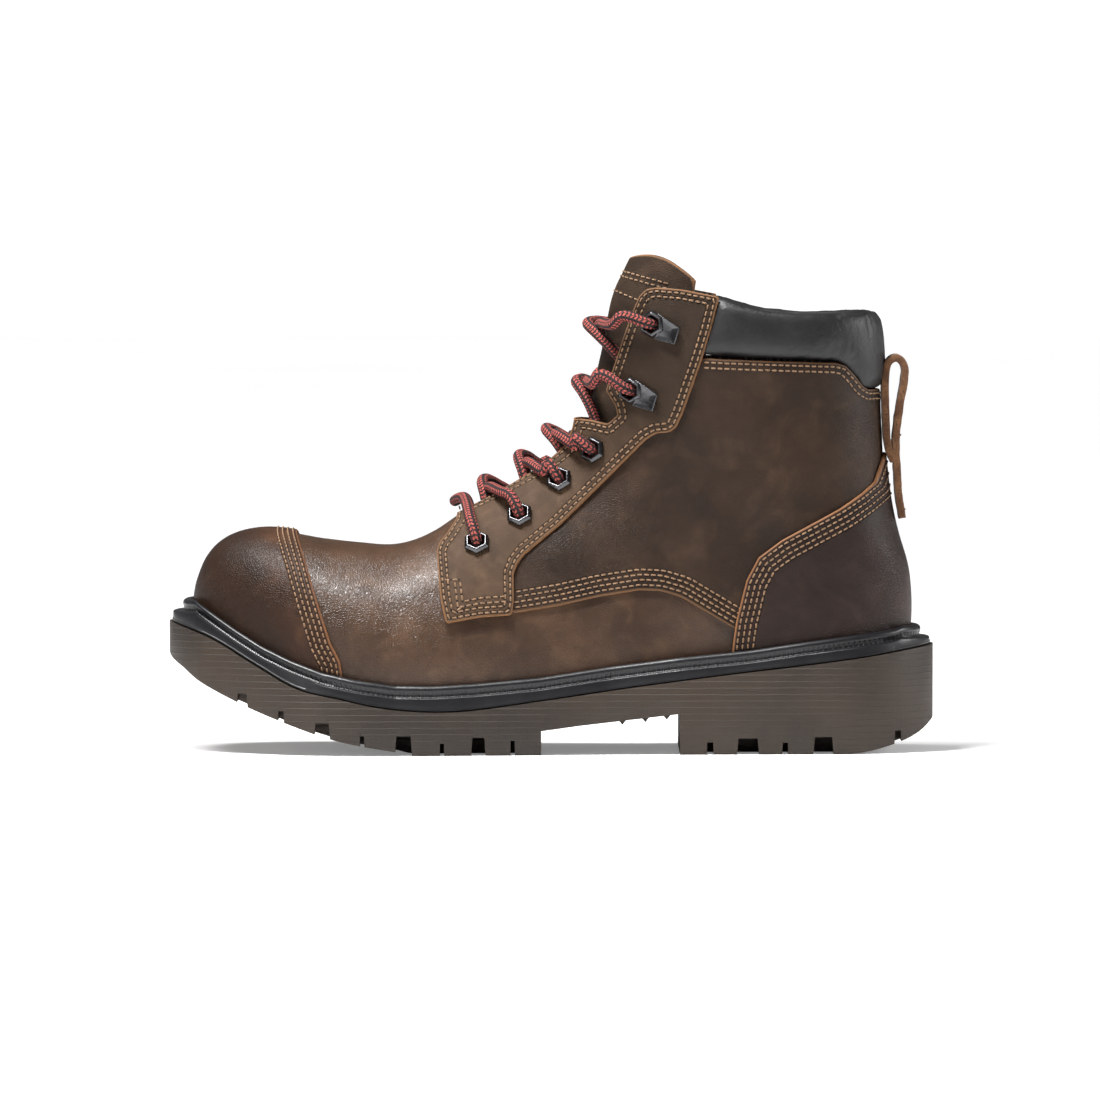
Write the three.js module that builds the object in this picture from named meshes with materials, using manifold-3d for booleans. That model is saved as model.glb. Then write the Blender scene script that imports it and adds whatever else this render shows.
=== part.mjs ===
// Steel toe work boot, a left boot.
// Millimetres, +Z up. The toe points to -X and the outer (lateral) side faces -Y.
import * as THREE from "three";
import Module from "manifold-3d";

const wasm = await Module();
wasm.setup();

// ---------------------------------------------------------------- driving dimensions

const GAP = 0.3;              // clearance between touching pieces
const LEATHER = 1.3;          // one layer of upper leather
const TUCK = 5;               // how far the upper reaches below the bead of the welt
const LAST_SOLE_STATION = 20; // stations up to here end on the sole, later ones on the heel
const STEPS = 7;              // facets from the ridge to the end of a section, each side
const TIDY = 0.1;            // facets flatter than this are merged

// How far each layer lies from the outer face of the vamp, outward positive.
const LEVEL = {
  vamp: [-LEATHER, 0],
  middle: [GAP, GAP + LEATHER],
  outer: [2 * GAP + LEATHER, 2 * GAP + 2 * LEATHER],
  steelCap: [-3.4, -1.6],
  toeLining: [-5.2, -3.7],
  lining: [-3.1, -1.6],
  collar: [-8, 2.1],
  tongue: [-10.2, -8.6],
  tonguePad: [-14.5, -11.2],
};

// The upper is ruled between a front line (A) and a lower, later rear, line (B).
// Each station gives A and B, the half-widths to the outer and inner side, how far the
// middle is shifted to the inner side, how square the section is, how much it narrows
// toward A, and the sweep in degrees: 90 ends on the widest point, 180 on the centre line.
const STATIONS = [
  // A x     z       B x     z     outer inner shift square egg  sweep
  [-143.2, 62.3, -143.2, 61.2, 0.6, 0.6, 6.0, 2.0, 0.0, 90],
  [-142.1, 68.0, -142.1, 60.2, 11.0, 11.0, 6.0, 2.2, 0.0, 96],
  [-138.8, 76.3, -138.8, 58.0, 19.5, 19.5, 6.0, 2.3, 0.0, 98],
  [-133.5, 82.6, -133.5, 54.5, 26.5, 26.5, 5.5, 2.4, 0.0, 100],
  [-126.0, 86.7, -126.0, 49.6, 33.0, 33.0, 5.0, 2.4, 0.0, 100],
  [-116.0, 88.5, -116.0, 43.6, 39.0, 38.5, 3.8, 2.4, 0.0, 100],
  [-104.0, 87.7, -104.0, 38.0, 43.8, 42.4, 2.4, 2.4, 0.0, 100],
  [-91.5, 85.6, -91.5, 33.4, 47.2, 45.6, 1.1, 2.3, 0.02, 100],
  [-78.0, 83.9, -78.0, 30.4, 49.2, 46.6, 0.3, 2.25, 0.04, 100],
  [-62.5, 83.2, -62.5, 28.2, 50.2, 46.6, 0.1, 2.2, 0.06, 100],
  [-47.5, 88.3, -47.0, 28.0, 50.2, 44.8, 0.0, 2.15, 0.09, 100],
  [-35.0, 96.7, -30.0, 28.9, 48.8, 42.0, 0.0, 2.1, 0.12, 100],
  [-24.0, 103.2, -4.0, 31.2, 45.8, 39.0, 0.0, 2.1, 0.14, 100],
  [-12.5, 111.0, 24.0, 35.4, 42.0, 36.8, 0.0, 2.1, 0.16, 101],
  [-2.5, 119.0, 52.0, 39.0, 38.4, 36.0, 0.0, 2.1, 0.18, 103],
  [3.6, 126.0, 80.0, 41.8, 37.2, 36.2, 0.0, 2.1, 0.2, 107],
  [6.4, 132.5, 103.0, 45.2, 37.3, 36.6, 0.0, 2.1, 0.22, 115],
  [7.6, 139.0, 120.0, 47.4, 37.5, 37.2, 0.0, 2.1, 0.24, 128],
  [8.6, 144.5, 132.0, 48.8, 37.6, 37.4, 0.0, 2.1, 0.25, 144],
  [9.5, 149.0, 139.0, 49.8, 37.8, 37.6, 0.0, 2.1, 0.26, 158],
  [10.3, 153.0, 142.4, 51.0, 38.0, 37.8, 0.0, 2.1, 0.27, 170],
  [11.2, 157.5, 143.6, 60.0, 38.2, 38.0, 0.0, 2.1, 0.27, 178],
  [12.2, 162.5, 142.4, 73.0, 38.4, 38.2, 0.0, 2.1, 0.27, 178.6],
  [13.1, 167.5, 138.6, 87.0, 38.6, 38.4, 0.0, 2.1, 0.27, 178.6],
  [14.0, 172.0, 135.4, 101.0, 38.6, 38.4, 0.0, 2.1, 0.27, 178.6],
  [14.9, 176.5, 133.4, 118.0, 38.4, 38.2, 0.0, 2.1, 0.26, 178.6],
  [15.8, 180.5, 132.4, 136.0, 38.0, 37.8, 0.0, 2.1, 0.25, 178.6],
  [16.8, 184.5, 132.0, 152.0, 37.5, 37.3, 0.0, 2.1, 0.24, 178.6],
  [17.8, 188.0, 131.5, 166.0, 36.8, 36.6, 0.0, 2.1, 0.24, 178.6],
  [19.4, 192.5, 130.2, 179.0, 36.2, 36.0, 0.0, 2.1, 0.24, 178.6],
  [22.0, 198.0, 128.6, 190.0, 36.0, 35.8, 0.0, 2.1, 0.24, 178.6],
  [25.0, 204.0, 127.0, 201.0, 36.0, 35.8, 0.0, 2.1, 0.24, 178.6],
];

// Heights along the boot, as [x, z] pairs.
const BAND_LINE = [
  [-156, 53], [-142, 48.6], [-134, 45], [-118, 35.7], [-102, 27], [-85, 23], [-69, 19.5],
  [-53, 17.9], [-36, 17.9], [-4, 21.9], [36, 27.6], [77, 32.9], [101, 35.7], [126, 39], [156, 43.6],
];
const GROUND_LINE = [
  [-156, 42.5], [-153.4, 38.1], [-148, 34], [-142, 29.2], [-127, 21.4], [-110, 14.3],
  [-89, 6.9], [-77, 4.1], [-62, 1.5], [-55, 0], [120, 0], [137, 3.2], [149, 8.1], [156, 14],
];

const SOLE_FLARE = 1.4;       // the outsole stands this far outside the welt
const EYELETS = [[-29.2, 82.8], [-11.8, 94.1], [4.5, 108.4], [18.7, 121.3]];
const HOOKS = [[34.1, 146.1], [42.6, 172.9]];
const THROAT_HALF_WIDTH = 13;

// ---------------------------------------------------------------- the surface of the upper

const catmullRom = (a, b, c, d, t) =>
  0.5 * (2 * b + (c - a) * t + (2 * a - 5 * b + 4 * c - d) * t ** 2 + (3 * b - a - 3 * c + d) * t ** 3);

// The station table at any fractional station k.
function station(k) {
  const last = STATIONS.length - 1;
  const i = Math.min(Math.floor(Math.max(k, 0)), last - 1);
  const row = (j) => STATIONS[Math.min(Math.max(j, 0), last)];
  return STATIONS[i].map((_, c) =>
    catmullRom(row(i - 1)[c], row(i)[c], row(i + 1)[c], row(i + 2)[c], k - i));
}

// Sections of every filled solid, closer together where the heel turns.
const RINGS = [...STATIONS.keys()].flatMap((k) => (k >= 16 && k <= 20 ? [k, k + 0.5] : [k]));

const tuck = (k) => TUCK * THREE.MathUtils.clamp(LAST_SOLE_STATION + 1 - k, 0, 1);

// A point of the vamp's outer face: u runs from 0 on the ridge to 1, side is -1 or 1.
function facePoint(k, u, side) {
  const [ax, az, bx, bz, outer, inner, shift, square, egg, sweep] = station(k);
  const power = 2 / square;
  const end = THREE.MathUtils.degToRad(sweep);
  const round = (angle) => Math.sign(Math.cos(angle)) * Math.abs(Math.cos(angle)) ** power;
  const angle = u * end;
  const t = (1 - round(angle)) / (1 - round(end));
  const width = (side < 0 ? outer : inner) * (1 - egg * (1 + Math.cos(angle)) / 2);
  return new THREE.Vector3(
    ax + (bx - ax) * t,
    shift + side * width * Math.abs(Math.sin(angle)) ** power,
    az + (bz - tuck(k) - az) * t);
}

function faceNormal(k, u, side) {
  const dk = 0.04;
  const du = 0.012;
  const k0 = Math.max(k - dk, 0);
  const k1 = Math.min(k + dk, STATIONS.length - 1);
  const u0 = Math.max(u - du, 0.002);
  const u1 = Math.min(u + du, 1);
  const along = facePoint(k1, u, side).sub(facePoint(k0, u, side));
  const down = facePoint(k, u1, side).sub(facePoint(k, u0, side));
  const normal = along.cross(down).multiplyScalar(side);
  if (u === 0) normal.y = 0;
  if (k === 0) normal.set(-1, 0, 0);
  return normal.normalize();
}

const offsetPoint = (k, u, side, d) => facePoint(k, u, side).addScaledVector(faceNormal(k, u, side), d);

// The station and u where a point of the side view lies on the face.
function locate(x, z, side) {
  let best = { k: 0, u: 0, miss: Infinity };
  let step = [0.5, 0.05];
  const scan = (k0, k1, u0, u1) => {
    for (let k = k0; k <= k1; k += step[0]) {
      for (let u = u0; u <= u1; u += step[1]) {
        const p = facePoint(k, u, side);
        const miss = Math.hypot(p.x - x, p.z - z);
        if (miss < best.miss) best = { k, u, miss };
      }
    }
  };
  scan(0, STATIONS.length - 1, 0, 1);
  for (let pass = 0; pass < 4; pass++) {
    const [dk, du] = step;
    step = [dk / 5, du / 5];
    scan(best.k - dk, best.k + dk, Math.max(best.u - du, 0), best.u + du);
  }
  return best;
}

// ---------------------------------------------------------------- solids

function toManifold(points, triangles) {
  const vertProperties = new Float32Array(points.flatMap((p) => [p.x, p.y, p.z]));
  const mesh = new wasm.Mesh({ numProp: 3, vertProperties, triVerts: new Uint32Array(triangles.flat()) });
  mesh.merge();
  return new wasm.Manifold(mesh);
}

function toGeometry(solid) {
  const mesh = solid.getMesh();
  const geometry = new THREE.BufferGeometry();
  const xyz = new Float32Array(mesh.numVert * 3);
  for (let i = 0; i < mesh.numVert; i++) {
    xyz.set(mesh.vertProperties.slice(i * mesh.numProp, i * mesh.numProp + 3), i * 3);
  }
  geometry.setAttribute("position", new THREE.BufferAttribute(xyz, 3));
  geometry.setIndex(new THREE.BufferAttribute(new Uint32Array(mesh.triVerts), 1));
  return geometry;
}

// A closed three.js geometry as a manifold solid.
function fromGeometry(geometry) {
  const position = geometry.getAttribute("position");
  const index = geometry.getIndex();
  const points = [];
  const triangles = [];
  const seen = new Map();
  const corner = [];
  for (let i = 0; i < position.count; i++) {
    const p = new THREE.Vector3().fromBufferAttribute(position, i);
    const key = p.toArray().map((v) => Math.round(v * 1e4)).join(",");
    if (!seen.has(key)) {
      seen.set(key, points.length);
      points.push(p);
    }
    corner.push(seen.get(key));
  }
  const count = index ? index.count : position.count;
  for (let i = 0; i < count; i += 3) {
    const t = [0, 1, 2].map((j) => corner[index ? index.getX(i + j) : i + j]);
    if (new Set(t).size === 3) triangles.push(t);
  }
  return toManifold(points, triangles);
}

// Rings of equal length joined into a closed solid. Each end is capped by a ladder that
// joins point i to its mirror, which suits a ring that runs down one side of the boot and
// back up the other.
function loft(rings) {
  const n = rings[0].length;
  const triangles = [];
  rings.slice(1).forEach((_, r) => {
    for (let i = 0; i < n; i++) {
      const j = (i + 1) % n;
      const [a, b, c, d] = [r * n + i, r * n + j, (r + 1) * n + j, (r + 1) * n + i];
      triangles.push([a, b, c], [a, c, d]);
    }
  });
  const cap = (base, flip) => {
    const put = (a, b, c) => {
      triangles.push((flip ? [a, b, c] : [a, c, b]).map((index) => base + index));
    };
    for (let i = 0; i < n / 2 - 1; i++) {
      const [a, b, c, d] = [i, i + 1, n - 2 - i, n - 1 - i];
      put(a, b, c);
      if (c !== b && d !== a) put(a, c, d);
    }
  };
  cap(0, false);
  cap((rings.length - 1) * n, true);
  const solid = toManifold(rings.flat(), triangles);
  return solid.volume() < 0 ? toManifold(rings.flat(), triangles.map((t) => [t[0], t[2], t[1]])) : solid;
}

// The whole upper as a filled solid at one level, drop lowering its open bottom.
function filledUpper(level, drop) {
  const rings = RINGS.map((k) => {
    const halves = [-1, 1].map((side) => {
      const points = [];
      for (let i = 0; i <= STEPS; i++) points.push(offsetPoint(k, i / STEPS, side, level));
      const low = points[STEPS].clone();
      low.z -= k <= LAST_SOLE_STATION ? drop : 0.01;
      return [...points, low];
    });
    return [...halves[0], ...halves[1].reverse()];
  });
  return loft(rings);
}

// The lower edge of the upper, where it is tucked in beside the midsole.
const TUCK_LINE = [
  [-156, 64],
  ...STATIONS.slice(0, LAST_SOLE_STATION + 1).map(([, , bx, bz]) => [bx, bz - TUCK]),
  [156, STATIONS[LAST_SOLE_STATION][3] - TUCK + 0.5],
];
const raised = (line, dz) => line.map(([x, z]) => [x, z + dz]);

// A side-view outline, as [x, z] pairs, extruded across the boot from y0 to y1.
function prism(outline, y0 = -90, y1 = 90) {
  const shape = new THREE.Shape(outline.map(([x, z]) => new THREE.Vector2(x, z)));
  const geometry = new THREE.ExtrudeGeometry(shape, { depth: y1 - y0, bevelEnabled: false });
  geometry.rotateX(Math.PI / 2);
  geometry.translate(0, y1, 0);
  return fromGeometry(geometry);
}

const between = (low, high) => prism([...low, ...[...high].reverse()]);
const above = (line) => between(line, [[line[0][0], 260], [line[line.length - 1][0], 260]]);
const block = (x0, x1, y0, y1, z0, z1) => prism([[x0, z0], [x1, z0], [x1, z1], [x0, z1]], y0, y1);

const aboveTuck = above(TUCK_LINE);
const shell = ([low, high]) => filledUpper(high, 4).subtract(filledUpper(low, 9)).intersect(aboveTuck);

// A patch of the upper at one level, from station k0 to the top edge, out to u = reach(k).
function patch([low, high], k0, topEdge, reach, rows, columns) {
  const layer = (level) => {
    const points = [];
    for (let r = 0; r <= rows; r++) {
      for (let c = -columns; c <= columns; c++) {
        const part = Math.abs(c) / columns;
        const k = k0 + (topEdge(part) - k0) * r / rows;
        points.push(offsetPoint(k, reach(k) * part, c < 0 ? -1 : 1, level));
      }
    }
    return points;
  };
  const points = [...layer(high), ...layer(low)];
  const across = 2 * columns + 1;
  const half = (rows + 1) * across;
  const triangles = [];
  const quad = (a, b, c, d) => triangles.push([a, b, c], [a, c, d]);
  for (let r = 0; r < rows; r++) {
    for (let c = 0; c < across - 1; c++) {
      const a = r * across + c;
      quad(a, a + 1, a + across + 1, a + across);
      quad(half + a, half + a + across, half + a + across + 1, half + a + 1);
    }
    for (const [c, flip] of [[0, false], [across - 1, true]]) {
      const [a, b] = [r * across + c, (r + 1) * across + c];
      if (flip) quad(a, half + a, half + b, b);
      else quad(a, b, half + b, half + a);
    }
  }
  for (let c = 0; c < across - 1; c++) {
    quad(c, half + c, half + c + 1, c + 1);
    const top = rows * across + c;
    quad(top, top + 1, half + top + 1, half + top);
  }
  const solid = toManifold(points, triangles);
  return solid.volume() < 0 ? toManifold(points, triangles.map((t) => [t[0], t[2], t[1]])) : solid;
}

// ---------------------------------------------------------------- the sole

// Leather that lies over the vamp where it meets the welt: toe cover, nothing, heel cover.
const coverAt = (k) => (k <= 8 ? LEATHER + GAP : k <= 13 ? 0 : 2 * LEATHER + 2 * GAP);
const weltWidth = (k) => (k <= 3 ? 8 : k <= 7 ? 6.4 : k <= 16 ? 5 : 7.6);

// Points round the sole outline: down the outer side from the toe, back along the inner side.
const OUTLINE = [];
const soleRings = RINGS.filter((k) => k <= LAST_SOLE_STATION);
for (const side of [-1, 1]) {
  for (const k of side < 0 ? soleRings : [...soleRings].reverse()) {
    const p = facePoint(k, 1, side);
    OUTLINE.push({ k, x: p.x, y: p.y });
  }
}
OUTLINE.forEach((p, i) => {
  const before = OUTLINE[(i + OUTLINE.length - 1) % OUTLINE.length];
  const after = OUTLINE[(i + 1) % OUTLINE.length];
  const length = Math.hypot(after.x - before.x, after.y - before.y);
  p.nx = (after.y - before.y) / length * -1;
  p.ny = (after.x - before.x) / length;
});
const OUTWARD = Math.sign(OUTLINE[5].y * OUTLINE[5].ny);

const outlinePoint = (p, d, z) =>
  new THREE.Vector3(p.x + p.nx * d * OUTWARD, p.y + p.ny * d * OUTWARD, z);

// A straight-sided slab of the sole outline, d(k) outside the vamp.
const slab = (d) => loft([-20, 120].map((z) => OUTLINE.map((p) => outlinePoint(p, d(p.k), z))));

function lineHeight(line, x) {
  const i = Math.min(Math.max(line.findIndex(([lx]) => lx > x), 1), line.length - 1);
  const [[x0, z0], [x1, z1]] = [line[i - 1], line[i]];
  return z0 + (z1 - z0) * (x - x0) / (x1 - x0);
}

// Where the upper meets the welt, as [x, z] pairs.
const FEATHER_LINE = [
  [-160, STATIONS[0][3]],
  ...STATIONS.slice(0, LAST_SOLE_STATION + 1).map(([, , bx, bz]) => [bx, bz]),
  [160, STATIONS[LAST_SOLE_STATION][3]],
];

// The welt: a flat band with a round bead above it, swept round the outline.
function makeWelt() {
  const sections = OUTLINE.map((p) => {
    const wide = weltWidth(p.k);
    const profile = [
      [wide, -5.4], [wide - 0.9, -4.7], [3.9, -4.5], [4.1, -2.2], [3.2, -0.6], [2.1, 0],
      [0.9, -0.5], [0, -1.8],
    ];
    const at = (e) => outlinePoint(p, coverAt(p.k) + GAP + e, 0);
    const foot = [0, wide].map((e) => at(e).setZ(lineHeight(BAND_LINE, at(e).x) - 4));
    return [...foot, ...profile.map(([e, dz]) => at(e).setZ(lineHeight(FEATHER_LINE, at(e).x) + dz))];
  });
  const n = sections[0].length;
  const triangles = [];
  sections.forEach((_, r) => {
    const next = (r + 1) % sections.length;
    for (let i = 0; i < n; i++) {
      const j = (i + 1) % n;
      triangles.push([r * n + i, r * n + j, next * n + j], [r * n + i, next * n + j, next * n + i]);
    }
  });
  const flipped = triangles.map((t) => [t[0], t[2], t[1]]);
  const solid = toManifold(sections.flat(), triangles);
  return (solid.volume() < 0 ? toManifold(sections.flat(), flipped) : solid)
    .intersect(above(BAND_LINE))
    .subtract(filledUpper(GAP, 12))
    .subtract(filledUpper(LEVEL.middle[1] + GAP, 12).intersect(block(-160, -81, -90, 90, 0, 120)))
    .subtract(filledUpper(LEVEL.outer[1] + GAP, 12).intersect(block(72.6, 160, -90, 90, 0, 120)));
}

// Side notches between the lugs: [front x, rear x, height above the ground line].
const NOTCHES = [
  [-125.8, -122.1, 4.5], [-109.2, -107.1, 4.2], [-94.2, -88.9, 5.5], [-76.3, -74.7, 4.2],
  [-61.7, -56, 7.3], [-44.2, -42.6, 5], [-31.2, -26.4, 7.3], [-15.8, -14.2, 6],
  [63.3, 65.7, 5], [75.9, 83.6, 6.5], [93.7, 95.8, 4.8], [106.7, 113.6, 7], [139.2, 141.6, 4.8],
];
const ARCH = [[-3.6, 9.7], [12.2, 11.8], [28.4, 13.6], [52.3, 16.4]];
const ARCH_RIBS = [29.2, 38.5, 47.1];
const LUG_DEPTH = 20;

function makeOutsole() {
  let sole = slab((k) => coverAt(k) + GAP + weltWidth(k) + SOLE_FLARE)
    .intersect(between(GROUND_LINE, raised(BAND_LINE, -GAP)));
  sole = sole.subtract(prism([[ARCH[0][0], -5], ...ARCH, [ARCH[3][0], -5]]));
  const edge = (x, side) => {
    const near = OUTLINE.filter((p) => Math.sign(p.y - 2) === side);
    const p = near.reduce((a, b) => (Math.abs(b.x - x) < Math.abs(a.x - x) ? b : a));
    return p.y;
  };
  for (const [x0, x1, height] of NOTCHES) {
    const ground = lineHeight(GROUND_LINE, (x0 + x1) / 2);
    const slope = Math.min((x1 - x0) * 0.18, 1.2);
    const outline = [
      [x0 - slope, ground - 6], [x1 + slope, ground - 6], [x1, ground + height], [x0, ground + height],
    ];
    for (const side of [-1, 1]) {
      const inner = edge(x0, side) - side * LUG_DEPTH;
      const outer = side * 80;
      sole = sole.subtract(prism(outline, Math.min(inner, outer), Math.max(inner, outer)));
    }
  }
  for (const x of ARCH_RIBS) {
    const z = lineHeight(ARCH, x);
    const tooth = [
      [x - 2.2, z + 1], [x - 1.9, z - 0.1], [x, z - 2.4], [x + 1.9, z - 0.1], [x + 2.2, z + 1],
    ];
    sole = sole.add(prism(tooth, -30, 26));
  }
  return sole;
}

const MIDSOLE_TOP = raised(TUCK_LINE, -GAP);
const SHANK_LINE = TUCK_LINE.filter(([x]) => x > -40 && x < 110);

function shankSolid(grow) {
  const line = SHANK_LINE;
  return between(raised(line, -2.2 - grow), raised(line, -0.9 + grow))
    .intersect(block(-28 - grow, 92 + grow, -10 - grow, 8 + grow, 0, 100));
}

const makeMidsole = () => slab(coverAt)
  .intersect(between(BAND_LINE, MIDSOLE_TOP))
  .subtract(shankSolid(GAP).add(block(-28, 92, -10, 8, 20, 60).intersect(above(raised(SHANK_LINE, -2.2)))));

function insideLayer(low, high, inset) {
  const toe = block(-160, -88, -90, 90, 0, 200).subtract(filledUpper(LEVEL.toeLining[0] - inset, 12));
  return filledUpper(LEVEL.lining[0] - inset, 12)
    .intersect(between(raised(TUCK_LINE, low), raised(TUCK_LINE, high)))
    .subtract(toe);
}

// ---------------------------------------------------------------- pattern pieces of the upper

const EYESTAY = [
  [-38.1, 94.6], [-37, 106], [-10, 126], [4, 134], [12, 134.6], [16.2, 134.2], [23.1, 132.7],
  [27, 136.2], [26.2, 140], [22.3, 146.1], [25.2, 155], [29.2, 167.2], [33.3, 178.6], [35.7, 184.2],
  [38.6, 187.1], [42.6, 187.9], [52.8, 187.1], [68.2, 184.2], [64.9, 171.2], [60.9, 158.3],
  [53.2, 136.8], [50.7, 131.5], [47.9, 129.4], [42.6, 129], [38.6, 126.6], [20.3, 108.3],
  [4.1, 92.5], [-10.1, 80.8], [-13, 77.1], [-14.6, 73], [-14.4, 61.7], [-15.4, 56.4],
  [-28.4, 55.6], [-41.8, 53.2], [-44.2, 63.7], [-45.9, 82], [-44.6, 85.6], [-41.8, 88.9],
];
const COLLAR_BOTTOM = [
  [61.3, 159.9], [69, 159.5], [115.7, 157.9], [119.7, 156.6], [123.8, 152.2], [126.6, 148.5],
  [129, 146.9], [150, 146.9],
];
const QUARTER_BOTTOM = [
  [-14.2, 57.2], [4.1, 60.1], [20.3, 63.7], [36.5, 66.1], [44.6, 65.7], [52.8, 63.3], [73.9, 50.7],
];
const HEEL_EDGE = [
  [73, 34], [73.9, 45.4], [75.1, 53.6], [79.1, 69.8], [84, 79.1], [93.3, 86], [117.7, 99],
  [125.8, 104.3], [131.9, 109.2], [135.5, 118.5], [137.2, 122.6], [150, 123.5],
];
const STIFFENER_EDGE = [
  [82, 34], [84, 52], [88, 64], [94, 71.5], [102, 77], [118, 86], [134, 96], [150, 104],
];
const VAMP_TOP = [
  [-160, 120], [-36, 120], [-34, 92], [-26, 76], [-14, 68], [4, 71], [20, 74], [36, 76], [53, 74], [66, 68],
  [82, 64], [160, 72],
];
const QUARTER = [
  ...QUARTER_BOTTOM, [81.4, 47], ...STIFFENER_EDGE.slice(1).map(([x, z]) => [x - 0.5, z + 0.5]),
  ...[...COLLAR_BOTTOM].reverse().map(([x, z]) => [x, z - 0.5]),
  [45, 140], [36, 130], [15, 110], [-2, 94], [-14, 84], [-20, 74], [-20, 60],
];

const LINING = [
  [-92.5, 15], [-92.5, 110], [-37, 110], ...EYESTAY.slice(1, 17), [67.7, 184.2],
  ...COLLAR_BOTTOM.map(([x, z]) => [x, z - 0.5]), [150, 15],
];
const COLLAR = [
  [68.7, 184.1], [61.9, 160], ...COLLAR_BOTTOM.slice(1), [150, 178], [128, 179.6], [117.7, 178.6],
  [101.5, 178.4], [85.2, 180],
];

const throat = block(-37, 60, -THROAT_HALF_WIDTH, THROAT_HALF_WIDTH, 70, 260);

const half = (solid, side) => solid.intersect(side < 0
  ? block(-200, 200, -100, -GAP / 2, -10, 260)
  : block(-200, 200, GAP / 2, 100, -10, 260));

// The frame of a fitting on the upper: local z points out of the leather, local x to the heel.
function leatherFrame([x, z], side) {
  const { k, u } = locate(x, z, side);
  const out = faceNormal(k, u, side);
  const right = new THREE.Vector3(1, 0, 0).addScaledVector(out, -out.x).normalize();
  const frame = new THREE.Matrix4().makeBasis(right, new THREE.Vector3().crossVectors(out, right), out);
  return frame.setPosition(facePoint(k, u, side));
}

// ---------------------------------------------------------------- lacing hardware

const BORE_RADIUS = 3.3;     // to the corners of the hexagonal bore
const BARREL_RADIUS = 3.75;
const EYELET_RADIUS = 5.6;
const HOLE_RADIUS = 4.3;

function hexRing() {
  const profile = [
    [BORE_RADIUS, -4.3], [BARREL_RADIUS, -4.3], [BARREL_RADIUS, 3.9], [EYELET_RADIUS, 3.9],
    [EYELET_RADIUS - 0.3, 5], [BARREL_RADIUS + 0.5, 5.8], [BORE_RADIUS, 5.2], [BORE_RADIUS, -4.3],
  ].map(([r, z]) => new THREE.Vector2(r, z));
  const geometry = new THREE.LatheGeometry(profile, 6);
  geometry.rotateX(Math.PI / 2);
  return fromGeometry(geometry);
}

function hookFlap(side) {
  const corners = [[2.6, 4.4], [12.2, -1.6], [10, -8.4], [1, -6.2], [3.2, -2.8], [3.9, 0]];
  const shape = new THREE.Shape(corners.map(([x, y]) => new THREE.Vector2(x, -side * y)));
  const geometry = new THREE.ExtrudeGeometry(shape, { depth: 1.2, bevelEnabled: false });
  geometry.translate(0, 0, 4);
  return fromGeometry(geometry);
}

const placed = (solid, at, side) => solid.transform(leatherFrame(at, side).toArray());

function holes(side) {
  const drill = new THREE.CylinderGeometry(HOLE_RADIUS, HOLE_RADIUS, 24, 8);
  drill.rotateX(Math.PI / 2);
  return wasm.Manifold.union([...EYELETS, ...HOOKS].map((at) => placed(fromGeometry(drill), at, side)));
}
const allHoles = holes(-1).add(holes(1));

// ---------------------------------------------------------------- collar, tongue, pull loop

const STRAP_HALF_WIDTH = 8;
const STRAP = 3;

// A strap of even thickness whose middle follows a curve in side view.
function strap(route) {
  const curve = new THREE.CatmullRomCurve3(route.map(([x, z]) => new THREE.Vector3(x, z, 0)));
  const count = route.length * 3;
  const left = [];
  const right = [];
  for (let i = 0; i <= count; i++) {
    const p = curve.getPoint(i / count);
    const t = curve.getTangent(i / count);
    left.push([p.x - t.y * STRAP / 2, p.y + t.x * STRAP / 2]);
    right.push([p.x + t.y * STRAP / 2, p.y - t.x * STRAP / 2]);
  }
  return prism([...left, ...right.reverse()], -STRAP_HALF_WIDTH, STRAP_HALF_WIDTH);
}

const PULL_LOOP = [
  [136.6, 125], [136, 138], [135.9, 151], [137.4, 157.4], [140.6, 158.9], [143.5, 156], [143.7, 151],
  [142, 141], [140.7, 132], [140.2, 125],
];
const PULL_TAIL = [[140.2, 124.4], [140.7, 113], [141.4, 103], [142.8, 94]];

// ---------------------------------------------------------------- lace

const LACE_RADIUS = 2.05;
const LACE_STEP = 7.5;
const TAIL_STEP = 11;
const TIP_LENGTH = 20;
const UNDER = -5.8;           // level of the lace between the lining and the tongue
const OVER = 8.6;             // level of the lace where it stands over an eyelet

// Levels of the lace from one throat edge to the other. Strands from the outer side pass over.
const CROSSINGS = {
  eyelets: { over: [-5.2, 2, 6.4, 7.4], under: [-4.9, 0, 2.2, 4.8] },
  hooks: { over: [-5.3, -3.4, -1.2, 0.4], under: [-5.6, -6, -6, -2.8] },
};

const ROWS = [...EYELETS, ...HOOKS];
const UPPER_EDGE = [24.3, 152.5];

// How far round the section the throat edge lies at a station.
function edgeReach(k, side) {
  let u = 0.02;
  while (Math.abs(facePoint(k, u, side).y) < THROAT_HALF_WIDTH) u += 0.004;
  return u;
}

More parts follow.
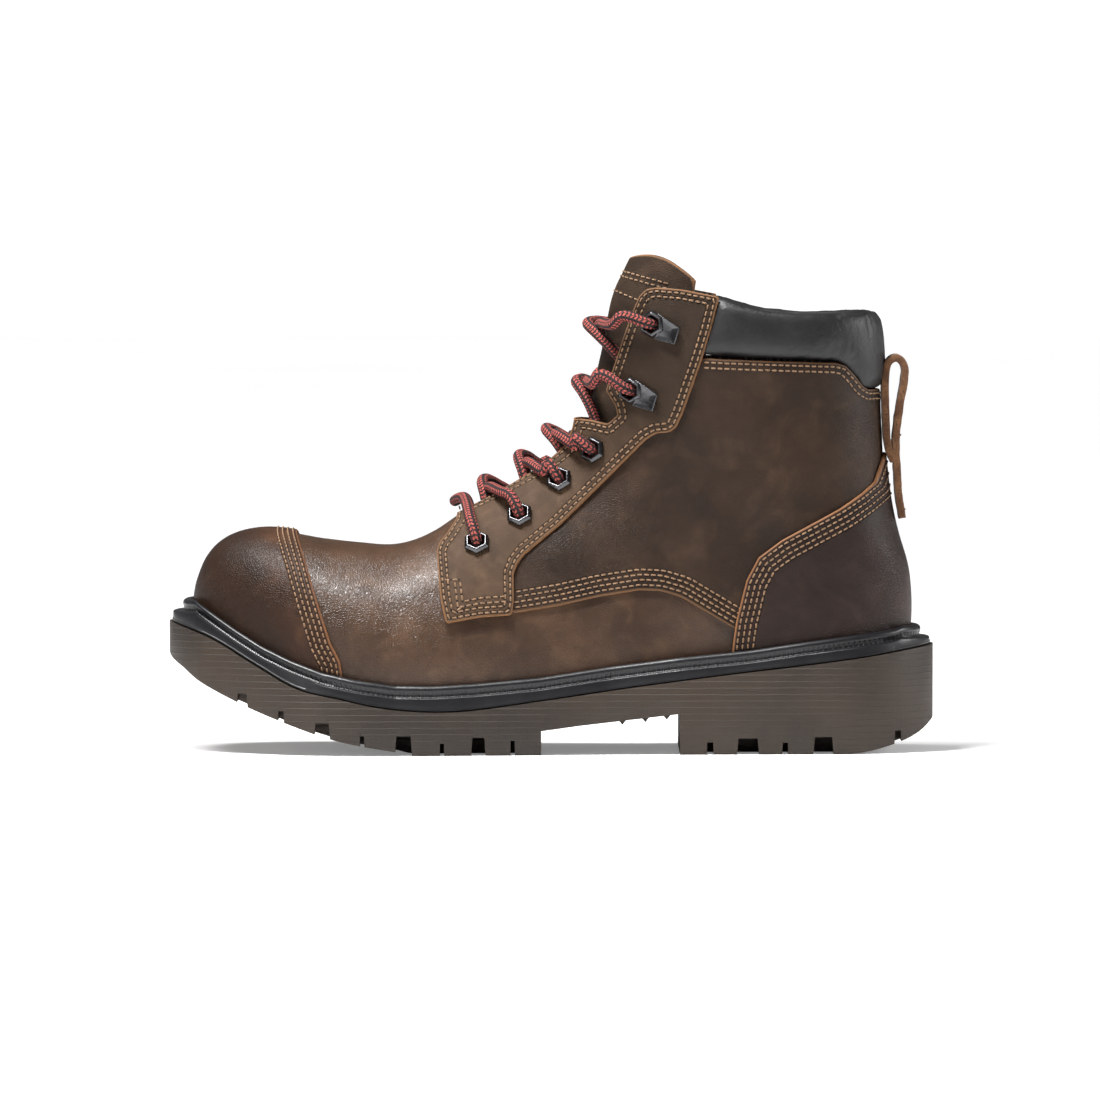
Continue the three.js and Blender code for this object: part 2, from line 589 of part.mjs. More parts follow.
// The lace from the middle of the bottom bar to the inside of the top hook. It enters each
// eyelet from outside, comes out under the throat edge and crosses to the other side.
function lacedRoute(start) {
  const first = locate(...ROWS[0], start);
  const reach = edgeReach(first.k, start);
  const points = [
    offsetPoint(10.95, 0, start, 5.4),
    offsetPoint(first.k - 0.08, reach * 0.8, start, 6.6),
  ];
  ROWS.forEach((row, i) => {
    const side = start * (-1) ** i;
    const { k, u } = locate(...row, side);
    const at = (dk, w, level, where = side) => points.push(offsetPoint(k + dk, w, where, level));
    at(-0.03, u - 0.066, OVER);
    at(0, u - 0.01, 6.4);
    at(0, u, 1.6);
    at(0, u - 0.004, -3.6);
    if (i === ROWS.length - 1) return;
    const next = locate(...ROWS[i + 1], -side);
    const dk = next.k - k;
    const edge = i === 4 ? locate(...UPPER_EDGE, side).u : edgeReach(k + dk / 2, side);
    const [low, rise, middle, fall] = CROSSINGS[i < 3 ? "eyelets" : "hooks"][side < 0 ? "over" : "under"];
    at(dk * 0.14, u - (u - edge) * 0.45, UNDER);
    at(dk * 0.3, edge * 0.9, low);
    at(dk * 0.42, edge * 0.5, rise);
    at(dk * 0.52, 0, middle);
    at(dk * 0.66, edge * 0.62, fall, -side);
    at(dk * 0.82, edge * 1.12, 6.6, -side);
  });
  return points;
}

// The loose end's way down the shaft and forward over the footbed, [x, |y|, z].
const TAIL_POINTS = [
  [56.8, 24.4, 157], [57.2, 23.8, 140], [54, 21.8, 116], [48, 20.5, 90], [42, 20.5, 66],
  [30, 20.5, 49.5], [14, 20.5, 44.2], [-8, 20.5, 41], [-28, 20.5, 38.9],
];

// A loose end: down inside the shaft and forward along the footbed.
function tailRoute(start) {
  const side = start * (-1) ** (ROWS.length - 1);
  const { k, u } = locate(...ROWS[ROWS.length - 1], side);
  return [
    offsetPoint(k, u + 0.03, side, -5.9), offsetPoint(k, u + 0.12, side, -6),
    ...TAIL_POINTS.map(([x, y, z]) => new THREE.Vector3(x, side * y, z)),
  ];
}

function tube(route, step, radius = LACE_RADIUS) {
  const curve = new THREE.CatmullRomCurve3(route, false, "centripetal");
  const section = new THREE.Shape();
  for (let i = 0; i < 8; i++) {
    const a = (i + 0.5) / 8 * 2 * Math.PI;
    section[i ? "lineTo" : "moveTo"](Math.cos(a) * radius, Math.sin(a) * radius);
  }
  curve.arcLengthDivisions = 2000;
  const steps = Math.round(curve.getLength() / step);
  const geometry = new THREE.ExtrudeGeometry(section, { extrudePath: curve, steps, bevelEnabled: false });
  return fromGeometry(geometry);
}

const laceRoute = [...lacedRoute(-1).reverse(), ...lacedRoute(1).slice(1)];
const laceRoom = tube(laceRoute, LACE_STEP, LACE_RADIUS + 0.35);

// A lace tip at the end of a tail.
function laceTip(route) {
  const curve = new THREE.CatmullRomCurve3(route, false, "centripetal");
  const along = curve.getTangent(1);
  const tip = new THREE.CylinderGeometry(LACE_RADIUS, LACE_RADIUS, TIP_LENGTH, 8);
  tip.applyQuaternion(new THREE.Quaternion().setFromUnitVectors(new THREE.Vector3(0, 1, 0), along));
  const middle = curve.getPoint(1).addScaledVector(along, TIP_LENGTH / 2 + GAP);
  return fromGeometry(tip.translate(middle.x, middle.y, middle.z));
}

// ---------------------------------------------------------------- assembly

const LEATHERS = {
  vamp: ["#6e5a4b", 0.6, 0],
  toe: ["#3c2823", 0.45, 0],
  quarter: ["#4b3c32", 0.6, 0],
  eyestay: ["#64503e", 0.75, 0],
  heel: ["#3c3230", 0.5, 0],
};
const BLACK_LEATHER = ["#323032", 0.6, 0];
const GUM_RUBBER = ["#554b3f", 0.7, 0];
const BLACK_RUBBER = ["#323237", 0.45, 0];
const TEXTILE = ["#6b6660", 0.9, 0];
const STEEL = ["#8a8d90", 0.35, 1];
const GUNMETAL = ["#3c3e41", 0.35, 0.9];
const BOARD = ["#a08a6c", 0.85, 0];
const FOAM = ["#2e2e30", 0.85, 0];
const SUEDE = ["#785032", 0.85, 0];
const LACE = ["#2a1f20", 0.85, 0];
const TIP = ["#202022", 0.3, 0];

const group = new THREE.Group();

function add(name, solid, [color, roughness, metalness]) {
  const material = new THREE.MeshStandardMaterial({ color, roughness, metalness });
  const mesh = new THREE.Mesh(toGeometry(solid.simplify(TIDY)), material);
  mesh.name = name;
  group.add(mesh);
}

const outerShell = shell(LEVEL.outer);
const middleShell = shell(LEVEL.middle);
const liningShell = shell(LEVEL.lining);

add("outsole", makeOutsole(), GUM_RUBBER);
add("welt", makeWelt(), BLACK_RUBBER);
add("midsole", makeMidsole(), FOAM);
add("steel_shank", shankSolid(0), STEEL);
add("insole_board", insideLayer(GAP, 2.5, GAP), BOARD);
add("footbed", insideLayer(2.8, 8, 2 * GAP), FOAM);
add("steel_toe_cap", shell(LEVEL.steelCap).intersect(block(-160, -97, -90, 90, 0, 200)), STEEL);
add("toe_lining", shell(LEVEL.toeLining).intersect(block(-160, -93, -90, 90, 0, 200)), TEXTILE);
add("lining", liningShell.intersect(prism(LINING)).subtract(throat).subtract(allHoles)
  .subtract(laceRoom), TEXTILE);
add("vamp", shell(LEVEL.vamp).intersect(prism(VAMP_TOP.concat([[160, 15], [-160, 15]])))
  .subtract(throat).subtract(allHoles), LEATHERS.vamp);
add("toe_cap_cover", middleShell.intersect(prism(
  [[-160, 10], [-160, 120], [-103.5, 120], [-102.7, 89.7], [-98.6, 77.9], [-93.7, 61.7],
    [-88.5, 45.4], [-84.4, 37.3], [-82, 30], [-82, 10]])), LEATHERS.toe);
add("heel_stiffener", middleShell.intersect(prism([...STIFFENER_EDGE, [150, 30]])), BOARD);
add("heel_cover", outerShell.intersect(prism([...HEEL_EDGE, [150, 30]])), LEATHERS.heel);
const quarterShape = prism(QUARTER).add(prism(EYESTAY));
for (const [side, name] of [[-1, "outer"], [1, "inner"]]) {
  const quarters = middleShell.intersect(quarterShape).subtract(throat).subtract(allHoles);
  const eyestays = outerShell.intersect(prism(EYESTAY)).subtract(throat).subtract(allHoles);
  add(`quarter_${name}`, half(quarters, side), LEATHERS.quarter);
  add(`eyestay_${name}`, half(eyestays, side), LEATHERS.eyestay);
}
add("collar", shell(LEVEL.collar).intersect(prism(COLLAR)), BLACK_LEATHER);

const tongueReach = (k) => THREE.MathUtils.lerp(0.3, 0.4, THREE.MathUtils.clamp((k - 10) / 14, 0, 1));
const tongueTop = (part) => 30.9 - 1.5 * part ** 4;
add("tongue", patch(LEVEL.tongue, 10.3, tongueTop, tongueReach, 17, 4), LEATHERS.vamp);
add("tongue_pad", patch(LEVEL.tonguePad, 11, (part) => tongueTop(part) - 0.7, (k) => tongueReach(k) * 0.9,
  13, 3), TEXTILE);

for (const [side, name] of [[-1, "outer"], [1, "inner"]]) {
  EYELETS.forEach((at, i) => add(`eyelet_${name}_${i + 1}`, placed(hexRing(), at, side).subtract(laceRoom),
    GUNMETAL));
  HOOKS.forEach((at, i) =>
    add(`hook_${name}_${i + 1}`, placed(hexRing().add(hookFlap(side)), at, side).subtract(laceRoom),
      GUNMETAL));
}
add("lace", tube(laceRoute, LACE_STEP), LACE);
for (const [side, name] of [[-1, "outer"], [1, "inner"]]) {
  add(`lace_tail_${name}`, tube(tailRoute(-side), TAIL_STEP), LACE);
  add(`lace_tip_${name}`, laceTip(tailRoute(-side)), TIP);
}
add("pull_loop", strap(PULL_LOOP), SUEDE);
add("pull_tail", strap(PULL_TAIL), SUEDE);

export default group;
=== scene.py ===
"""Steel toe work boot: the looks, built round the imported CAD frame.

The frame is in metres, +Z up, with the toe to -X and the outer side of this left boot to -Y.
Shapes are worked out in millimetres, and become metres when their mesh is made.
"""

import math

import bmesh
import bpy
import numpy as np
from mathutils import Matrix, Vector, noise


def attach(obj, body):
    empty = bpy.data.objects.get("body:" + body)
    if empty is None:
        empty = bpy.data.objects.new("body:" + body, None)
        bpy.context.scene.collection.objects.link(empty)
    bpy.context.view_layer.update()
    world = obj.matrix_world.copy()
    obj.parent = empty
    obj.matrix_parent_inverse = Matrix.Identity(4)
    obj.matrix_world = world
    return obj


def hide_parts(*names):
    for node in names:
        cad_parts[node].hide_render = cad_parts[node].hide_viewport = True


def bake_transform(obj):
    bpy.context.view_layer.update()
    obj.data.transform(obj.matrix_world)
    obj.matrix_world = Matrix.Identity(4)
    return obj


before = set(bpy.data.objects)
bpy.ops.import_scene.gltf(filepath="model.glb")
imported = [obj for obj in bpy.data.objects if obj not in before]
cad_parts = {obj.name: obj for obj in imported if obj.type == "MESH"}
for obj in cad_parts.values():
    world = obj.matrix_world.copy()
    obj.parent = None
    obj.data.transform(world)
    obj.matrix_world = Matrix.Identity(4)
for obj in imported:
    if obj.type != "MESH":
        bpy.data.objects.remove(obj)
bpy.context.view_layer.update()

MM = 0.001
FAR = 1e3                       # stands for any distance too large to matter
NEAR_ZERO = 1e-5                # a field value nearer to a cut than this is moved off it
OUTER, INNER = -1, 1            # the sides of the boot: -Y and +Y
SIDE_NAMES = {OUTER: "outer", INNER: "inner"}

# ---------------------------------------------------------------- the surface of the upper

TUCK = 5.0                      # how far the upper reaches below the bead of the welt
LAST_SOLE_STATION = 20

# Level of each layer, outward from the vamp's outer face.
LEVEL = {
    "vamp": (-1.3, 0.0), "middle": (0.3, 1.6), "outer": (1.9, 3.2),
    "lining": (-3.1, -1.6), "toe_lining": (-5.2, -3.7),
    "collar": (-7.4, 2.8), "tongue": (-10.2, -8.6), "tongue_pad": (-14.2, -11.0),
}
COLLAR_FACE = 2.1               # level at which the collar's outline is drawn

# Front line A, rear line B, outer and inner half-width, shift, squareness, egg and sweep.
STATIONS = np.array([
    # A x     z       B x     z     outer inner shift square egg  sweep
    (-143.2, 62.3, -143.2, 61.2, 0.6, 0.6, 6.0, 2.0, 0.0, 90),
    (-142.1, 68.0, -142.1, 60.2, 11.0, 11.0, 6.0, 2.2, 0.0, 96),
    (-138.8, 76.3, -138.8, 58.0, 19.5, 19.5, 6.0, 2.3, 0.0, 98),
    (-133.5, 82.6, -133.5, 54.5, 26.5, 26.5, 5.5, 2.4, 0.0, 100),
    (-126.0, 86.7, -126.0, 49.6, 33.0, 33.0, 5.0, 2.4, 0.0, 100),
    (-116.0, 88.5, -116.0, 43.6, 39.0, 38.5, 3.8, 2.4, 0.0, 100),
    (-104.0, 87.7, -104.0, 38.0, 43.8, 42.4, 2.4, 2.4, 0.0, 100),
    (-91.5, 85.6, -91.5, 33.4, 47.2, 45.6, 1.1, 2.3, 0.02, 100),
    (-78.0, 83.9, -78.0, 30.4, 49.2, 46.6, 0.3, 2.25, 0.04, 100),
    (-62.5, 83.2, -62.5, 28.2, 50.2, 46.6, 0.1, 2.2, 0.06, 100),
    (-47.5, 88.3, -47.0, 28.0, 50.2, 44.8, 0.0, 2.15, 0.09, 100),
    (-35.0, 96.7, -30.0, 28.9, 48.8, 42.0, 0.0, 2.1, 0.12, 100),
    (-24.0, 103.2, -4.0, 31.2, 45.8, 39.0, 0.0, 2.1, 0.14, 100),
    (-12.5, 111.0, 24.0, 35.4, 42.0, 36.8, 0.0, 2.1, 0.16, 101),
    (-2.5, 119.0, 52.0, 39.0, 38.4, 36.0, 0.0, 2.1, 0.18, 103),
    (3.6, 126.0, 80.0, 41.8, 37.2, 36.2, 0.0, 2.1, 0.2, 107),
    (6.4, 132.5, 103.0, 45.2, 37.3, 36.6, 0.0, 2.1, 0.22, 115),
    (7.6, 139.0, 120.0, 47.4, 37.5, 37.2, 0.0, 2.1, 0.24, 128),
    (8.6, 144.5, 132.0, 48.8, 37.6, 37.4, 0.0, 2.1, 0.25, 144),
    (9.5, 149.0, 139.0, 49.8, 37.8, 37.6, 0.0, 2.1, 0.26, 158),
    (10.3, 153.0, 142.4, 51.0, 38.0, 37.8, 0.0, 2.1, 0.27, 170),
    (11.2, 157.5, 143.6, 60.0, 38.2, 38.0, 0.0, 2.1, 0.27, 178),
    (12.2, 162.5, 142.4, 73.0, 38.4, 38.2, 0.0, 2.1, 0.27, 178.6),
    (13.1, 167.5, 138.6, 87.0, 38.6, 38.4, 0.0, 2.1, 0.27, 178.6),
    (14.0, 172.0, 135.4, 101.0, 38.6, 38.4, 0.0, 2.1, 0.27, 178.6),
    (14.9, 176.5, 133.4, 118.0, 38.4, 38.2, 0.0, 2.1, 0.26, 178.6),
    (15.8, 180.5, 132.4, 136.0, 38.0, 37.8, 0.0, 2.1, 0.25, 178.6),
    (16.8, 184.5, 132.0, 152.0, 37.5, 37.3, 0.0, 2.1, 0.24, 178.6),
    (17.8, 188.0, 131.5, 166.0, 36.8, 36.6, 0.0, 2.1, 0.24, 178.6),
    (19.4, 192.5, 130.2, 179.0, 36.2, 36.0, 0.0, 2.1, 0.24, 178.6),
    (22.0, 198.0, 128.6, 190.0, 36.0, 35.8, 0.0, 2.1, 0.24, 178.6),
    (25.0, 204.0, 127.0, 201.0, 36.0, 35.8, 0.0, 2.1, 0.24, 178.6),
])
LAST = len(STATIONS) - 1


def station(k):
    """The station table at fractional stations k, as columns."""
    i = np.clip(np.floor(k), 0, LAST - 1).astype(int)
    t = (k - i)[:, None]
    a, b, c, d = (STATIONS[np.clip(i + j, 0, LAST)] for j in (-1, 0, 1, 2))
    rows = 0.5 * (2 * b + (c - a) * t + (2 * a - 5 * b + 4 * c - d) * t ** 2
                  + (3 * b - a - 3 * c + d) * t ** 3)
    return rows.T


def same_length(*values):
    return np.broadcast_arrays(*(np.atleast_1d(np.asarray(v, float)) for v in values))


def face_points(k, u, side):
    """Points of the vamp's outer face: u from 0 on the ridge to 1, side -1 or 1."""
    k, u, side = same_length(k, u, side)
    ax, az, bx, bz, outer, inner, shift, square, egg, sweep = station(k)
    power = 2 / square
    end = np.radians(sweep)

    def rounded(angle):
        cosine = np.cos(angle)
        return np.sign(cosine) * np.abs(cosine) ** power

    angle = u * end
    t = (1 - rounded(angle)) / (1 - rounded(end))
    width = np.where(side < 0, outer, inner) * (1 - egg * (1 + np.cos(angle)) / 2)
    low = bz - TUCK * np.clip(LAST_SOLE_STATION + 1 - k, 0, 1)
    return np.stack([
        ax + (bx - ax) * t,
        shift + side * width * np.abs(np.sin(angle)) ** power,
        az + (low - az) * t,
    ], 1)


def face_normals(k, u, side):
    """Outward normals of the vamp's outer face, from small steps along and round it."""
    k, u, side = same_length(k, u, side)
    ahead, behind = np.minimum(k + 0.04, LAST), np.maximum(k - 0.04, 0)
    along = face_points(ahead, u, side) - face_points(behind, u, side)
    low, high = np.maximum(u - 0.012, 0.002), np.minimum(u + 0.012, 1)
    normal = np.cross(along, face_points(k, high, side) - face_points(k, low, side)) * side[:, None]
    normal[u == 0, 1] = 0
    normal[k == 0] = (-1, 0, 0)
    return normal / np.linalg.norm(normal, axis=1, keepdims=True)


def offset_points(k, u, side, level):
    return face_points(k, u, side) + face_normals(k, u, side) * level


def locate(x, z, side):
    """The station and u where a point of the side view lies on the face."""
    k0, k1, u0, u1 = 0.0, LAST, 0.0, 1.0
    for _ in range(7):
        k, u = np.meshgrid(np.linspace(k0, k1, 41), np.linspace(u0, u1, 41))
        p = face_points(k.ravel(), u.ravel(), side)
        best = np.argmin(np.hypot(p[:, 0] - x, p[:, 2] - z))
        k, u = k.ravel()[best], u.ravel()[best]
        dk, du = (k1 - k0) / 10, (u1 - u0) / 10
        k0, k1, u0, u1 = max(k - dk, 0), min(k + dk, LAST), max(u - du, 0), min(u + du, 1)
    return k, u


# ---------------------------------------------------------------- outlines, in side view

EYESTAY = [
    (-38.1, 94.6), (-37, 106), (-10, 126), (4, 134), (12, 134.6), (16.2, 134.2), (23.1, 132.7),
    (27, 136.2), (26.2, 140), (22.3, 146.1), (25.2, 155), (29.2, 167.2), (33.3, 178.6), (35.7, 184.2),
    (38.6, 187.1), (42.6, 187.9), (52.8, 187.1), (68.2, 184.2), (64.9, 171.2), (60.9, 158.3),
    (53.2, 136.8), (50.7, 131.5), (47.9, 129.4), (42.6, 129), (38.6, 126.6), (20.3, 108.3),
    (4.1, 92.5), (-10.1, 80.8), (-13, 77.1), (-14.6, 73), (-14.4, 61.7), (-15.4, 56.4),
    (-28.4, 55.6), (-41.8, 53.2), (-44.2, 63.7), (-45.9, 82), (-44.6, 85.6), (-41.8, 88.9),
]
COLLAR_BOTTOM = [
    (61.3, 159.9), (69, 159.5), (115.7, 157.9), (119.7, 156.6), (123.8, 152.2), (126.6, 148.5),
    (129, 146.9), (150, 146.9),
]
COLLAR_SEAM = [(x, z - 0.5) for x, z in COLLAR_BOTTOM]
COLLAR_TOP = [(150, 178), (128, 179.6), (117.7, 178.6), (101.5, 178.4), (85.2, 180)]
QUARTER_BOTTOM = [
    (-14.2, 57.2), (4.1, 60.1), (20.3, 63.7), (36.5, 66.1), (44.6, 65.7), (52.8, 63.3), (73.9, 50.7),
]
HEEL_EDGE = [
    (73, 34), (73.9, 45.4), (75.1, 53.6), (79.1, 69.8), (84, 79.1), (93.3, 86), (117.7, 99),
    (125.8, 104.3), (131.9, 109.2), (135.5, 118.5), (137.2, 122.6), (150, 123.5),
]
TOE_EDGE = [
    (-103.5, 120), (-102.7, 89.7), (-98.6, 77.9), (-93.7, 61.7), (-88.5, 45.4), (-84.4, 37.3), (-82, 20),
]
VAMP_TOP = [
    (-36, 120), (-34, 92), (-26, 76), (-14, 68), (4, 71), (20, 74), (36, 76), (53, 74), (66, 68),
    (82, 64), (86, 20),
]
THROAT_HALF_WIDTH = 13
THROAT_FRONT = -37
THROAT_REAR = 60.0
THROAT_FOOT = 70                # the slot is only cut above this height
EYELETS = [(-29.2, 82.8), (-11.8, 94.1), (4.5, 108.4), (18.7, 121.3)]
HOOKS = [(34.1, 146.1), (42.6, 172.9)]
ROWS = EYELETS + HOOKS

QUARTER = (QUARTER_BOTTOM + [(81.4, 47), (90, 60), (150, 90)] + COLLAR_SEAM[::-1]
           + [(45, 140), (36, 130), (15, 110), (-2, 94), (-14, 84), (-20, 74), (-20, 60)])
COLLAR = [(66.7, 184.1), (59.4, 160.4)] + COLLAR_BOTTOM[1:] + COLLAR_TOP
TOE_COVER = [(-160, 10), (-160, 120)] + TOE_EDGE + [(-82, 10)]
HEEL_COVER = HEEL_EDGE + [(150, 30)]
VAMP = [(-160, 120)] + VAMP_TOP + [(86, 10), (-160, 10)]
LINING = ([(-92.5, 15), (-92.5, 110), (-37, 110)] + EYESTAY[1:17] + [(67.7, 184.2)]
          + COLLAR_SEAM + [(150, 15)])


def segment_distance(x, z, a, b):
    """Distance from points to the segment a-b, and how far along it they project."""
    dx, dz = b[0] - a[0], b[1] - a[1]
    along = ((x - a[0]) * dx + (z - a[1]) * dz) / (dx * dx + dz * dz)
    clamped = np.clip(along, 0, 1)
    return np.hypot(x - a[0] - dx * clamped, z - a[1] - dz * clamped), along


def line_distance(points, line, signed=False):
    """Distance in side view to an open line, FAR past its ends. Signed, the left is positive."""
    x, z = points[:, 0], points[:, 2]
    best, turn = np.full(len(x), FAR), np.ones(len(x))
    beyond = np.zeros(len(x), bool)
    for i, (a, b) in enumerate(zip(line, line[1:])):
        distance, along = segment_distance(x, z, a, b)
        nearer = distance < best
        left = np.sign((b[0] - a[0]) * (z - a[1]) - (b[1] - a[1]) * (x - a[0]))
        past = (i == 0) & (along < 0) | (i == len(line) - 2) & (along > 1)
        best = np.where(nearer, distance, best)
        turn = np.where(nearer, left, turn)
        beyond = np.where(nearer, past, beyond)
    return np.where(beyond, FAR, best * turn if signed else best)


def inside_distance(points, outline):
    """Signed distance in side view to a closed outline, positive inside."""
    x, z = points[:, 0], points[:, 2]
    best = np.full(len(x), FAR)
    inside = np.zeros(len(x), bool)
    for a, b in zip(outline, outline[1:] + outline[:1]):
        best = np.minimum(best, segment_distance(x, z, a, b)[0])
        if a[1] != b[1]:
            crosses = (a[1] > z) != (b[1] > z)
            inside ^= crosses & (x < a[0] + (z - a[1]) * (b[0] - a[0]) / (b[1] - a[1]))
    return np.where(inside, best, -best)


def outside_throat(points):
    """Signed distance to the slot in which the tongue shows, positive in the leather."""
    aside = np.abs(points[:, 1]) - THROAT_HALF_WIDTH
    ahead = np.maximum(THROAT_FRONT - points[:, 0], points[:, 0] - THROAT_REAR)
    return np.where(points[:, 2] > THROAT_FOOT, np.maximum(aside, ahead), FAR)


HOLE_DEPTH = 12                 # how far from the face a hole reaches


def outside_holes(points, radius=3.6):
    """Signed distance to the holes for the eyelets and hooks."""
    nearest = np.full(len(points), FAR)
    for side in (OUTER, INNER):
        for row in ROWS:
            k, u = locate(*row, side)
            centre, axis = face_points(k, u, side)[0], face_normals(k, u, side)[0]
            away = points - centre
            along = away @ axis
            across = np.linalg.norm(away - np.outer(along, axis), axis=1)
            clear = np.where(np.abs(along) < HOLE_DEPTH, across - radius, FAR)
            nearest = np.minimum(nearest, clear)
    return nearest


def seam_distance(line, cover):
    """Distance from a seam, negative where the piece's cover is negative, which is outside it."""
    return lambda points: np.copysign(line_distance(points, line), cover(points))


def covered_by(*distances):
    """The cover of a piece that is inside all of the given distances."""
    return lambda points: np.minimum.reduce([distance(points) for distance in distances])


def within(outline):
    return lambda points: inside_distance(points, outline)


# ---------------------------------------------------------------- sheets cut out of the surface

JUMP = 4                        # a field that changes by more than this in a triangle isn't followed


class Sheet:
    """Triangles over the upper's face. Each vertex has a place, a normal and named distances."""

    def __init__(self, points, normals, triangles):
        self.data = np.hstack([points, normals])
        self.names = {}
        self.triangles = triangles

    points = property(lambda self: self.data[:, :3])
    normals = property(lambda self: self.data[:, 3:6])

    def field(self, name):
        return self.data[:, self.names[name]]

    def add_field(self, name, values):
        self.names[name] = self.data.shape[1]
        self.data = np.hstack([self.data, np.asarray(values, float)[:, None]])

    def split(self, name, at, drop):
        """Cuts the triangles where the field equals at. With drop, what is below it goes."""
        values = self.field(name) - at
        values = np.where(np.abs(values) < NEAR_ZERO, NEAR_ZERO, values)
        above = values[self.triangles] > 0
        count = above.sum(1)
        kept = [self.triangles[count == 3]]
        if not drop:
            kept.append(self.triangles[count == 0])
        mixed = self.triangles[(count == 1) | (count == 2)]
        if len(mixed):
            flags = values[mixed] > 0
            odd = np.where(flags.sum(1) == 1, flags.argmax(1), (~flags).argmax(1))
            rows = np.arange(len(mixed))
            a, b, c = (mixed[rows, (odd + j) % 3] for j in range(3))
            pairs = np.sort(np.vstack([np.stack([a, b], 1), np.stack([a, c], 1)]), 1)
            unique, index = np.unique(pairs, axis=0, return_inverse=True)
            index = index.ravel()
            first, second = values[unique[:, 0]], values[unique[:, 1]]
            t = (first / (first - second))[:, None]
            base = len(self.data)
            added = self.data[unique[:, 0]] * (1 - t) + self.data[unique[:, 1]] * t
            self.data = np.vstack([self.data, added])
            ab, ac = base + index[:len(mixed)], base + index[len(mixed):]
            tip_in = values[a] > 0
            tip = np.stack([a, ab, ac], 1)
            rest = np.vstack([np.stack([ab, b, c], 1), np.stack([ab, c, ac], 1)])
            keep_tip = tip_in | (not drop)
            keep_rest = np.tile(~tip_in | (not drop), 2)
            kept += [tip[keep_tip], rest[keep_rest]]
        self.triangles = np.vstack(kept)

    def drop_unused(self):
        """Drops unused vertices, and makes the normals unit length again."""
        used, index = np.unique(self.triangles, return_inverse=True)
        self.data = self.data[used]
        self.triangles = index.reshape(-1, 3)
        normals = self.normals
        self.data[:, 3:6] = normals / np.linalg.norm(normals, axis=1, keepdims=True)

    def contour(self, name, at):
        """Lines where the field equals at, each as rows of point and normal."""
        values = self.field(name) - at
        values = np.where(np.abs(values) < NEAR_ZERO, NEAR_ZERO, values)
        links, places = {}, {}
        above = (values[self.triangles] > 0).sum(1)
        smooth = np.abs(values[self.triangles]).max(1) < JUMP
        for triangle in self.triangles[smooth & ((above == 1) | (above == 2))]:
            ends = []
            for i, j in ((0, 1), (1, 2), (2, 0)):
                p, q = sorted((int(triangle[i]), int(triangle[j])))
                if (values[p] > 0) != (values[q] > 0):
                    t = values[p] / (values[p] - values[q])
                    places[p, q] = self.data[p, :6] * (1 - t) + self.data[q, :6] * t
                    ends.append((p, q))
            links.setdefault(ends[0], []).append(ends[1])
            links.setdefault(ends[1], []).append(ends[0])
        return [np.array([places[key] for key in chain]) for chain in chains(links)]


def chains(links):
    """Follows a graph whose nodes have one or two neighbours into ordered lines."""
    left = set(links)
    lines = []
    starts = [key for key in links if len(links[key]) == 1] + list(links)
    for start in starts:
        if start not in left:
            continue
        line = [start]
        left.discard(start)
        while True:
            following = [n for n in links[line[-1]] if n in left]
            if not following:
                break
            line.append(following[0])
            left.discard(following[0])
        if len(line) > 2:
            if line[0] in links[line[-1]]:
                line.append(line[0])
            lines.append(line)
    return lines


def grid_triangles(rows, columns, skip=lambda r, c: False):
    quads = [(r, c) for r in range(rows) for c in range(columns) if not skip(r, c)]
    triangles = []
    for r, c in quads:
        a = r * (columns + 1) + c
        b = a + columns + 1
        triangles += [(a, a + 1, b + 1), (a, b + 1, b)]
    return np.array(triangles)


def surface_grid(k0, k1, u0, u1, join, per_station=11, columns=88):
    """A grid over the face. join is ridge or heel, where its two sides meet, or one side alone."""
    rows = max(int(round((k1 - k0) * per_station)), 2)
    ks = np.linspace(k0, k1, rows + 1)
    half = np.linspace(u0, u1, columns + 1)
    outer_columns = [OUTER] * (columns + 1)
    if join == "ridge":
        us, sides = np.r_[half[::-1], half[1:]], np.r_[outer_columns, [INNER] * columns]
    elif join == "heel":
        us, sides = np.r_[half, half[::-1]], np.r_[outer_columns, [INNER] * (columns + 1)]
    else:
        us, sides = half, np.full(columns + 1, join)
    k, u = np.meshgrid(ks, us, indexing="ij")
    side = np.broadcast_to(sides, k.shape).ravel()
    k, u = k.ravel(), u.ravel()

    def under_the_foot(r, c):
        return join == "heel" and c == columns and ks[r] < LAST_SOLE_STATION

    triangles = grid_triangles(rows, len(us) - 1, under_the_foot)
    if join == INNER:
        triangles = triangles[:, ::-1]
    return Sheet(face_points(k, u, side), face_normals(k, u, side), triangles)


# ---------------------------------------------------------------- meshes

def make_mesh(name, vertices, faces, materials, smooth=True, face_material=None, floats=None):
    """A mesh object from millimetre vertices. floats are attributes that its materials read."""
    mesh = bpy.data.meshes.new(name)
    mesh.from_pydata((np.asarray(vertices) * MM).tolist(), [], [tuple(map(int, f)) for f in faces])
    for material in materials:
        mesh.materials.append(material)
    if face_material is not None:
        mesh.polygons.foreach_set("material_index", np.asarray(face_material, np.int32))
    mesh.polygons.foreach_set("use_smooth", np.full(len(mesh.polygons), smooth))
    for label, values in (floats or {}).items():
        attribute = mesh.attributes.new(label, "FLOAT", "POINT")
        attribute.data.foreach_set("value", np.asarray(values, np.float32))
    mesh.validate()
    mesh.update()
    obj = bpy.data.objects.new(name, mesh)
    bpy.context.collection.objects.link(obj)
    return obj


def boundary_edges(triangles):
    """Directed edges that only one triangle has."""
    edges = np.vstack([triangles[:, [0, 1]], triangles[:, [1, 2]], triangles[:, [2, 0]]])
    key = np.sort(edges, 1)
    _, index, count = np.unique(key, axis=0, return_inverse=True, return_counts=True)
    return edges[count[index.ravel()] == 1]


